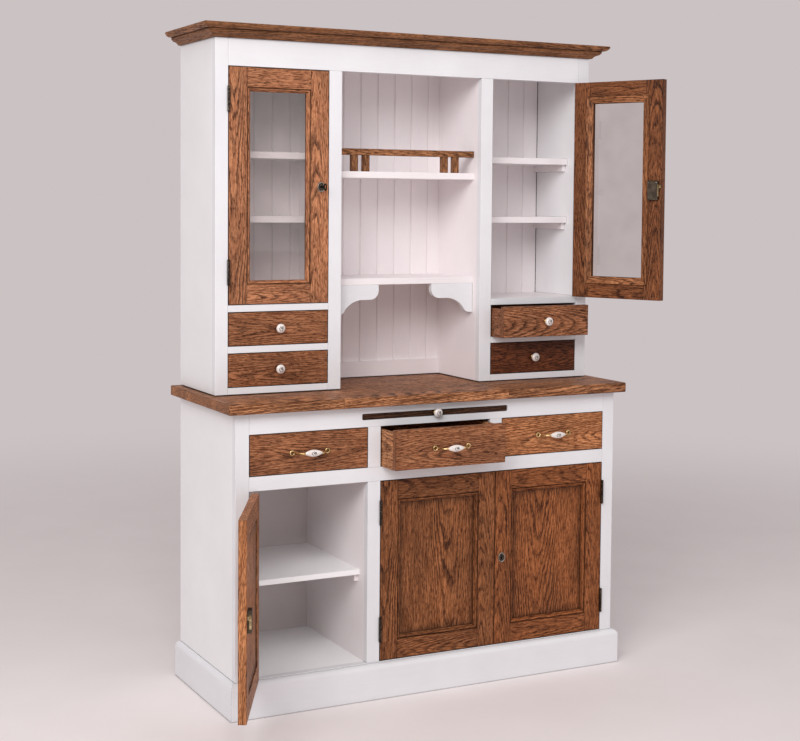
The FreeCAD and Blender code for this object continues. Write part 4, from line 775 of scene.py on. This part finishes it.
def boards(node_name, finish, slot, arris=0.0007, stain_and_shade_width=0.005, box=None):
    """The wooden boards of one node, eased at their edges and laid with grain.

    Where box is given, it is the finish of all the boards behind the front of a drawer.
    """
    body = body_of(node_name)
    behind_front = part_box(node_name)[0].y + FRONT_DEPTH

    def of_the_box(index, faces):
        return int(sum(face.calc_center_median().y for face in faces) / len(faces) > behind_front)

    made = solid_copy(node_name, arris, of_the_box if box else None)
    lay_grain(made, node_name, opened(body).inverted(), stain_and_shade_width)
    word = "painted" if slot == WHITE else "oak"
    return finished(made, f"{node_name}_{word}", body, [finish, box] if box else [finish], slot, node_name)


WHITE, STAINED = "white_painted_wood", "stained_oak"
PAINTED_BOARDS = (
    (PAINT, 0.0007, ("base_sides", "hutch_sides")),
    (PAINT_BACK_SHADED, 0.0007, ("base_back_panel",)),
    (PAINT_FRONT, 0.0010, ("plinth", "base_face_frame", "hutch_face_frame", "niche_brackets")),
    (PAINT_INSIDE, 0.0007, (
        "base_dividers", "drawer_guides", "hutch_partitions", "hutch_decks", "hutch_back_boards",
        "hutch_shelves", "shelf_cleats",
    )),
    (PAINT_LEVEL_LIT, 0.0007, ("base_floor_board", "base_shelves")),
)
for paint, arris, names in PAINTED_BOARDS:
    for name in names:
        boards(name, paint, WHITE, arris)

boards("worktop", OAK_TOP, STAINED, 0.0012, 0.006)
for name, oak in (("gallery", OAK_TRIM), ("cornice", OAK_TRIM), ("slide_board", OAK_DARK)):
    boards(name, oak, STAINED, 0.0008)
for name, oak, slip in (
    ("upper_left_door", OAK_UPPER, OAK_UPPER), ("upper_right_door", OAK_INNER_SHADED, OAK_SLIP)
):
    boards(name + "_frame", oak, STAINED, 0.0010)
    # The mouldings darken within 4 mm of their edges: painted shade lines in the quirks, with the stain
    # there.
    boards(name + "_mouldings", slip, STAINED, 0.0010, 0.004)
for name, oak in (
    ("lower_left_door", OAK_OPEN_LIT), ("lower_middle_door", OAK_LOWER), ("lower_right_door", OAK_RIGHT)
):
    boards(name + "_frame", oak, STAINED, 0.0010)
    # A panel darkens up to 45 mm in from its edges: painted shade round the sunk panel, with the stain there.
    boards(name + "_panel", oak, STAINED, 0.0010, 0.045)
for name, oak in (
    ("large_drawer_left", OAK_FRONT), ("large_drawer_middle", OAK_FRONT), ("large_drawer_right", OAK_LIGHT)
):
    boards(name, oak, STAINED, 0.0010, box=OAK_BOX)
for name, oak in (
    ("small_drawer_left_high", OAK_FRONT), ("small_drawer_left_low", OAK_FRONT),
    ("small_drawer_right_high", OAK_FRONT), ("small_drawer_right_low", OAK_SHADE),
):
    boards(name, oak, STAINED, 0.0010)


def porcelain_marks(made, middle, front_y, stretch):
    """Notes each point's place in the sprig's oval, and whether it lies on the front."""
    spot = made.verts.layers.float_vector.new("spot")
    painted = made.verts.layers.float.new("painted")
    for vert in made.verts:
        vert[spot] = (vert.co - middle) * Vector(stretch)
        vert[painted] = 1.0 if vert.co.y < front_y else 0.0


def spun(made, profile, centre, axis, finish, steps=28, closed=False):
    """Spins a profile of (along, out) points about an axis through a centre, in metres."""
    before = set(made.faces)
    out = Vector((0, 0, 1)) if abs(axis.z) < 0.5 else Vector((1, 0, 0))
    verts = [made.verts.new(centre + axis * along + out * away) for along, away in profile]
    pairs = list(zip(verts, verts[1:] + verts[:1])) if closed else list(zip(verts, verts[1:]))
    edges = [made.edges.new(pair) for pair in pairs]
    bmesh.ops.spin(
        made, geom=verts + edges, cent=centre, axis=axis, angle=math.tau, steps=steps, use_merge=True
    )
    new = [face for face in made.faces if face not in before]
    bmesh.ops.remove_doubles(made, verts=corners(new), dist=MERGED)
    new = [face for face in made.faces if face not in before]
    for face in new:
        face.material_index = finish
    bmesh.ops.recalc_face_normals(made, faces=new)
    return corners(new)


def knob(node_name):
    """A porcelain knob turned like a mushroom, on its stamped brass rose."""
    low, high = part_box(node_name)
    centre = Vector(((low.x + high.x) / 2, high.y, (low.z + high.z) / 2))
    outwards = Vector((0, -1, 0))
    made = bmesh.new()
    rose = [(0, 8.5), (1.2, 8.5), (2.0, 8.0), (2.5, 6.6), (2.5, 0)]
    head = [
        (2.5, 5.4), (4.5, 5.6), (6.5, 6.3), (8.5, 7.9), (10.5, 10.3), (12.5, 12.5), (14.2, 13.7),
        (15.8, 14.0), (17.6, 13.7), (19.4, 12.6), (21.2, 10.6), (22.6, 7.9), (23.6, 4.4), (24.0, 0),
    ]
    for finish, outline in ((0, rose), (1, head)):
        spun(made, [(a * MM, r * MM) for a, r in outline], centre, outwards, finish, 40)
    porcelain_marks(made, centre, low.y + 9 * MM, (1.2, 1.0, 0.68))
    return finished(
        made, node_name + "_china", body_of(node_name), [BRASS, PORCELAIN], "glazed_porcelain", node_name,
        smooth=40,
    )


def arm(made, points, finish):
    """A round tapering arm along a smooth line of (place, radius) points."""
    curve = bpy.data.curves.new("arm", "CURVE")
    curve.dimensions = "3D"
    curve.bevel_depth = 1.0
    curve.bevel_resolution = 3
    curve.use_fill_caps = True
    curve.resolution_u = 5
    line = curve.splines.new("NURBS")
    line.points.add(len(points) - 1)
    for point, (place, radius) in zip(line.points, points):
        point.co = (*place, 1.0)
        point.radius = radius
    line.order_u = 3
    line.use_endpoint_u = True
    holder = bpy.data.objects.new("arm", curve)
    mesh = bpy.data.meshes.new_from_object(holder)
    before = set(made.faces)
    made.from_mesh(mesh)
    new = [face for face in made.faces if face not in before]
    for face in new:
        face.material_index = finish
    bmesh.ops.recalc_face_normals(made, faces=new)
    bpy.data.objects.remove(holder)
    bpy.data.curves.remove(curve)
    bpy.data.meshes.remove(mesh)


def handle(node_name):
    """A cast brass pull: an open ring at each end lies on the drawer, and slender arms rise to the grip.

    The grip is a spindle of porcelain held between two brass cups.
    """
    low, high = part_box(node_name)
    x, z, face = (low.x + high.x) / 2, (low.z + high.z) / 2, high.y
    made = bmesh.new()
    grip_y = low.y + 8 * MM
    centre = Vector((x, grip_y, z))
    along = Vector((1, 0, 0))
    spindle = [
        (-28.5, 0), (-28.3, 2.2), (-26, 3.4), (-21, 5.6), (-15.5, 7.7), (-8.5, 9.7), (0, 10.5),
        (8.5, 9.7), (15.5, 7.7), (21, 5.6), (26, 3.4), (28.3, 2.2), (28.5, 0),
    ]
    grip = spun(made, [(a * MM, r * MM) for a, r in spindle], centre, along, 1, 32)
    for vert in grip:
        vert.co.y = grip_y + (vert.co.y - grip_y) * 0.76
    for side in (-1, 1):
        cup = [(26.6, 0), (26.6, 3.4), (27.4, 4.2), (28.8, 3.9), (30.2, 3.3), (31.6, 2.9), (32.4, 0)]
        spun(made, [(side * a * MM, r * MM) for a, r in cup], centre, along, 0, 20)
        arm(made, [
            (Vector((x + side * 29 * MM, grip_y, z)), 3.1 * MM),
            (Vector((x + side * 37 * MM, grip_y + 1 * MM, z)), 2.9 * MM),
            (Vector((x + side * 45 * MM, face - 15 * MM, z)), 2.5 * MM),
            (Vector((x + side * 47 * MM, face - 5 * MM, z)), 2.2 * MM),
            (Vector((x + side * 51 * MM, face - 2.3 * MM, z)), 2.0 * MM),
        ], 0)
        ring = Vector((x + side * 56 * MM, face - 2.1 * MM, z))
        section = [
            (2.1 * MM * math.sin(math.tau * i / 12), (6.4 + 2.2 * math.cos(math.tau * i / 12)) * MM)
            for i in range(12)
        ]
        spun(made, section, ring, Vector((0, -1, 0)), 0, 32, closed=True)
    porcelain_marks(made, centre, grip_y, (1.0, 1.0, 1.0))
    return finished(
        made, node_name + "_cast", body_of(node_name), [ANTIQUE, PORCELAIN], "aged_brass", node_name,
        smooth=50,
    )


def lock(node_name):
    """A lock: a case with four round-headed screws, a rimmed escutcheon and, where it is fixed, its bolt.

    The case is browned steel, and a strip beside a fixed bolt is dull brass.
    """
    body = body_of(node_name)
    place = opened(body)
    made = solid_copy(node_name, 0.0004, lambda index, faces: (1, 0, 2)[min(index, 2)])
    bmesh.ops.transform(made, matrix=place.inverted(), verts=made.verts)
    case = [face for face in made.faces if face.material_index == 1]
    bolt = [face for face in made.faces if face.material_index == 2]
    plate = [face for face in made.faces if face.material_index == 0]
    low, high = extent(vert.co for face in case for vert in face.verts)
    if bolt:
        # A brass strip lies along the side of the case that the bolt comes out of.
        out = 1 if max(vert.co.x for face in bolt for vert in face.verts) > high.x else -1
        edge = high.x if out > 0 else low.x
        size = Vector((2.4 * MM, 6.0 * MM, 0.62 * (high.z - low.z)))
        centre = Vector((edge + out * 1.3 * MM, high.y - 2.2 * MM, (low.z + high.z) / 2))
        strip = bmesh.ops.create_cube(made, size=1.0)["verts"]
        bmesh.ops.scale(made, vec=size, verts=strip)
        bmesh.ops.translate(made, vec=centre, verts=strip)
        for face in {face for vert in strip for face in vert.link_faces}:
            face.material_index = 2
    inwards = Vector((0, 1, 0))
    head = [(a * MM, r * MM) for a, r in ((0.0, 2.4), (0.7, 2.2), (1.2, 1.4), (1.4, 0.0))]
    for x in (low.x + 5 * MM, high.x - 5 * MM):
        for z in (low.z + 6 * MM, high.z - 6 * MM):
            spun(made, head, Vector((x, high.y, z)), inwards, 3, 14)
    low, high = extent(vert.co for face in plate for vert in face.verts)
    middle = Vector(((low.x + high.x) / 2, low.y, (low.z + high.z) / 2))
    half, tall = (high.x - low.x) / 2, (high.z - low.z) / (high.x - low.x)
    # A near-black disc behind the escutcheon, nearly twice as tall as it is wide, is painted shade: it stands
    # for the dark inside the keyhole.
    keyhole_shade_disc = [(0.0, 0.0), (0.0, 4.4), (0.4, 4.4), (0.4, 0.0)]
    back = Vector((middle.x, high.y + 0.2 * MM, middle.z))
    for vert in spun(made, [(a * MM, r * MM) for a, r in keyhole_shade_disc], back, inwards, 5, 24):
        vert.co.z = middle.z + (vert.co.z - middle.z) * 1.9
    # The rim is a half round, 1.1 mm high and 2.4 mm wide.
    rim = [
        (1.1 * MM * math.sin(math.pi * i / 6), half - 1.3 * MM + 1.2 * MM * math.cos(math.pi * i / 6))
        for i in range(7)
    ]
    for vert in spun(made, rim, middle, -inwards, 4, 48):
        vert.co.z = middle.z + (vert.co.z - middle.z) * tall
    bmesh.ops.transform(made, matrix=place, verts=made.verts)
    return finished(
        made, node_name + "_fitted", body, [PATINA, CASE, PLATE, STEEL, PEWTER, KEYHOLE_SHADE], "aged_brass",
        node_name, smooth=35,
    )


def key(node_name):
    """An old cupboard key: an oval bow, a collar, a turned shank and a flat bit that hangs at its end."""
    low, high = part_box(node_name)
    x, z = (low.x + high.x) / 2, (low.z + high.z) / 2
    made = bmesh.new()
    inwards = Vector((0, 1, 0))
    reach = (high.y - low.y) / MM
    bow = [
        (2.2 * math.sin(math.tau * i / 12) * MM, (9.0 + 2.2 * math.cos(math.tau * i / 12)) * MM)
        for i in range(12)
    ]
    ring = Vector((x, low.y + 11.2 * MM, z))
    for vert in spun(made, bow, ring, Vector((1, 0, 0)), 0, 36, closed=True):
        vert.co.y = low.y + (vert.co.y - low.y) * 0.9
    shank = [
        (18.4, 0), (18.4, 2.3), (19.6, 3.4), (21.2, 3.6), (22.6, 2.6), (24.0, 3.1), (25.2, 2.4),
        (reach - 0.6, 2.4), (reach, 1.8), (reach, 0),
    ]
    spun(made, [(a * MM, r * MM) for a, r in shank], Vector((x, low.y, z)), inwards, 0, 24)
    bit = bmesh.ops.create_cube(made, size=1.0)["verts"]
    bmesh.ops.scale(made, vec=(1.8 * MM, 3.8 * MM, 6.8 * MM), verts=bit)
    bmesh.ops.translate(made, vec=(x, high.y - 2.1 * MM, z - 3.5 * MM), verts=bit)
    return finished(
        made, node_name + "_filed", body_of(node_name), [IRON], "steel_key", node_name, smooth=40
    )


def casting(node_name, finish, slot, word):
    """A packed metal or felt piece in its own shape, with its finish."""
    made = solid_copy(node_name)
    return finished(made, f"{node_name}_{word}", body_of(node_name), [finish], slot, node_name, smooth=35)


for name in frame["nodes"]:
    if name.endswith("_knob"):
        knob(name)
    elif name.endswith("_handle"):
        handle(name)
    elif name.endswith("_lock"):
        lock(name)
    elif name.endswith("_hinges") or name == "carcass_hinge_leaves":
        casting(name, BRONZE, "dark_bronze", "cast")
    elif name.endswith("_bolt"):
        casting(name, BRASS, "aged_brass", "filed")
    elif name.endswith("_key"):
        key(name)
    elif name.endswith("_glass"):
        frame["nodes"][name].data.materials[0] = GLASS
        frame["nodes"][name].material_slots[0].material = GLASS
    elif name == "hutch_pads":
        casting(name, FELT, "dark_pad", "cut")


# Room

BACKDROP = linear("#cbc2c3")


def seen_directly(tree):
    """One where a ray comes from the camera, off a gloss or through glass, and zero for all other light."""
    ray = node(tree, "LightPath").outputs
    larger = {"operation": "MAXIMUM"}
    seen = node(tree, "Math", larger, {0: ray["Is Camera Ray"], 1: ray["Is Transmission Ray"]})
    return node(tree, "Math", larger, {0: seen.outputs[0], 1: ray["Is Glossy Ray"]}).outputs[0]


world = bpy.data.worlds.new("studio")
bpy.context.scene.world = world
world.use_nodes = True
tree = world.node_tree
tree.nodes.clear()
around = node(tree, "Background", inputs={"Color": (1.0, 0.935, 0.955, 1.0), "Strength": 0.40})
behind = node(tree, "Background", inputs={"Color": BACKDROP, "Strength": 1.0})
either = node(
    tree, "MixShader", inputs={0: seen_directly(tree), 1: around.outputs[0], 2: behind.outputs[0]}
)
world_out = tree.nodes.new("ShaderNodeOutputWorld")
tree.links.new(either.outputs[0], world_out.inputs["Surface"])

floor_mesh = bmesh.new()
bmesh.ops.create_circle(floor_mesh, cap_ends=True, segments=96, radius=30.0)
floor_data = bpy.data.meshes.new("floor")
floor_mesh.to_mesh(floor_data)
floor_mesh.free()
floor = bpy.data.objects.new("floor", floor_data)
bpy.context.scene.collection.objects.link(floor)

# A pale matt floor that fades into the backdrop from 1.6 m to 5.5 m away. Close under the plinth it is
# darkened by ambient occlusion: painted shade.
pale_floor, tree, out = new_material("pale_floor")
place = node(tree, "TexCoord").outputs["Object"]
far = node(tree, "VectorMath", {"operation": "LENGTH"}, {0: place})
fade = node(
    tree, "MapRange", {"interpolation_type": "SMOOTHSTEP"},
    {"Value": far.outputs["Value"], IN_LOW: 1.6, IN_HIGH: 5.5, OUT_LOW: 0.0, OUT_HIGH: 1.0},
)
share = node(tree, "Math", {"operation": "MULTIPLY"}, {0: fade.outputs[0], 1: seen_directly(tree)})
plaster = node(tree, "TexNoise", inputs={"Vector": place, "Scale": 3.0, "Detail": 4.0})
tint = node(
    tree, "ValToRGB", inputs={"Fac": plaster.outputs["Fac"]}, stops=[(0.3, "#efe7e6"), (0.7, "#f3ebea")]
)
occlusion_shade = node(tree, "AmbientOcclusion", {"samples": 4}, {"Distance": 0.012})
contact_shade = node(
    tree, "MapRange",
    inputs={"Value": occlusion_shade.outputs["AO"], IN_LOW: 0.45, IN_HIGH: 0.8, OUT_LOW: 0.35, OUT_HIGH: 1.0},
)
contact_shaded = node(
    tree, "VectorMath", {"operation": "SCALE"}, {0: tint.outputs["Color"], "Scale": contact_shade.outputs[0]}
)
matt = node(tree, "BsdfPrincipled", inputs={"Base Color": contact_shaded.outputs[0], "Roughness": 0.7})
glow = node(tree, "Emission", inputs={"Color": BACKDROP, "Strength": 1.0})
both = node(tree, "MixShader", inputs={0: share.outputs[0], 1: matt.outputs[0], 2: glow.outputs[0]})
tree.links.new(both.outputs[0], out.inputs["Surface"])
floor_data.materials.append(pale_floor)

# The lamps: their places and what they aim at in metres, their sizes in metres and their power in watts.
for name, place, aim, size, power in (
    ("key", (-2.6, -4.4, 4.2), (0, 0, 1.0), 2.6, 128.0),
    ("side", (-4.2, -3.2, 3.6), (0, 0, 1.0), 2.6, 110.0),
    ("fill", (2.4, -4.8, 2.4), (0, 0, 1.0), 2.6, 18.0),
    ("top", (-0.3, -1.8, 4.6), (0, 0, 0.6), 3.0, 18.0),
):
    data = bpy.data.lights.new(name, "AREA")
    data.shape = "SQUARE"
    data.size = size
    data.energy = power
    lamp = bpy.data.objects.new(name, data)
    lamp.location = place
    lamp.rotation_mode = "QUATERNION"
    lamp.rotation_quaternion = (Vector(aim) - Vector(place)).to_track_quat("-Z", "Y")
    bpy.context.scene.collection.objects.link(lamp)

# The photograph's own camera, worked out from the right angles of the cabinet.
lens = bpy.data.cameras.new("photograph")
lens.sensor_width = 36.0
lens.sensor_fit = "HORIZONTAL"
lens.lens = 68.217
lens.shift_y = -0.108
camera = bpy.data.objects.new("photograph", lens)
camera.rotation_mode = "QUATERNION"
camera.location = (-2.1914, -4.2490, 1.4866)
camera.rotation_quaternion = (
    Matrix.Rotation(-math.radians(27.2124), 4, "Z")
    @ Matrix.Rotation(math.radians(90 - 3.1004), 4, "X")
    @ Matrix.Rotation(math.radians(0.4509), 4, "Z")
).to_quaternion()
bpy.context.scene.collection.objects.link(camera)
bpy.context.scene.camera = camera
bpy.context.scene.view_settings.view_transform = "Standard"
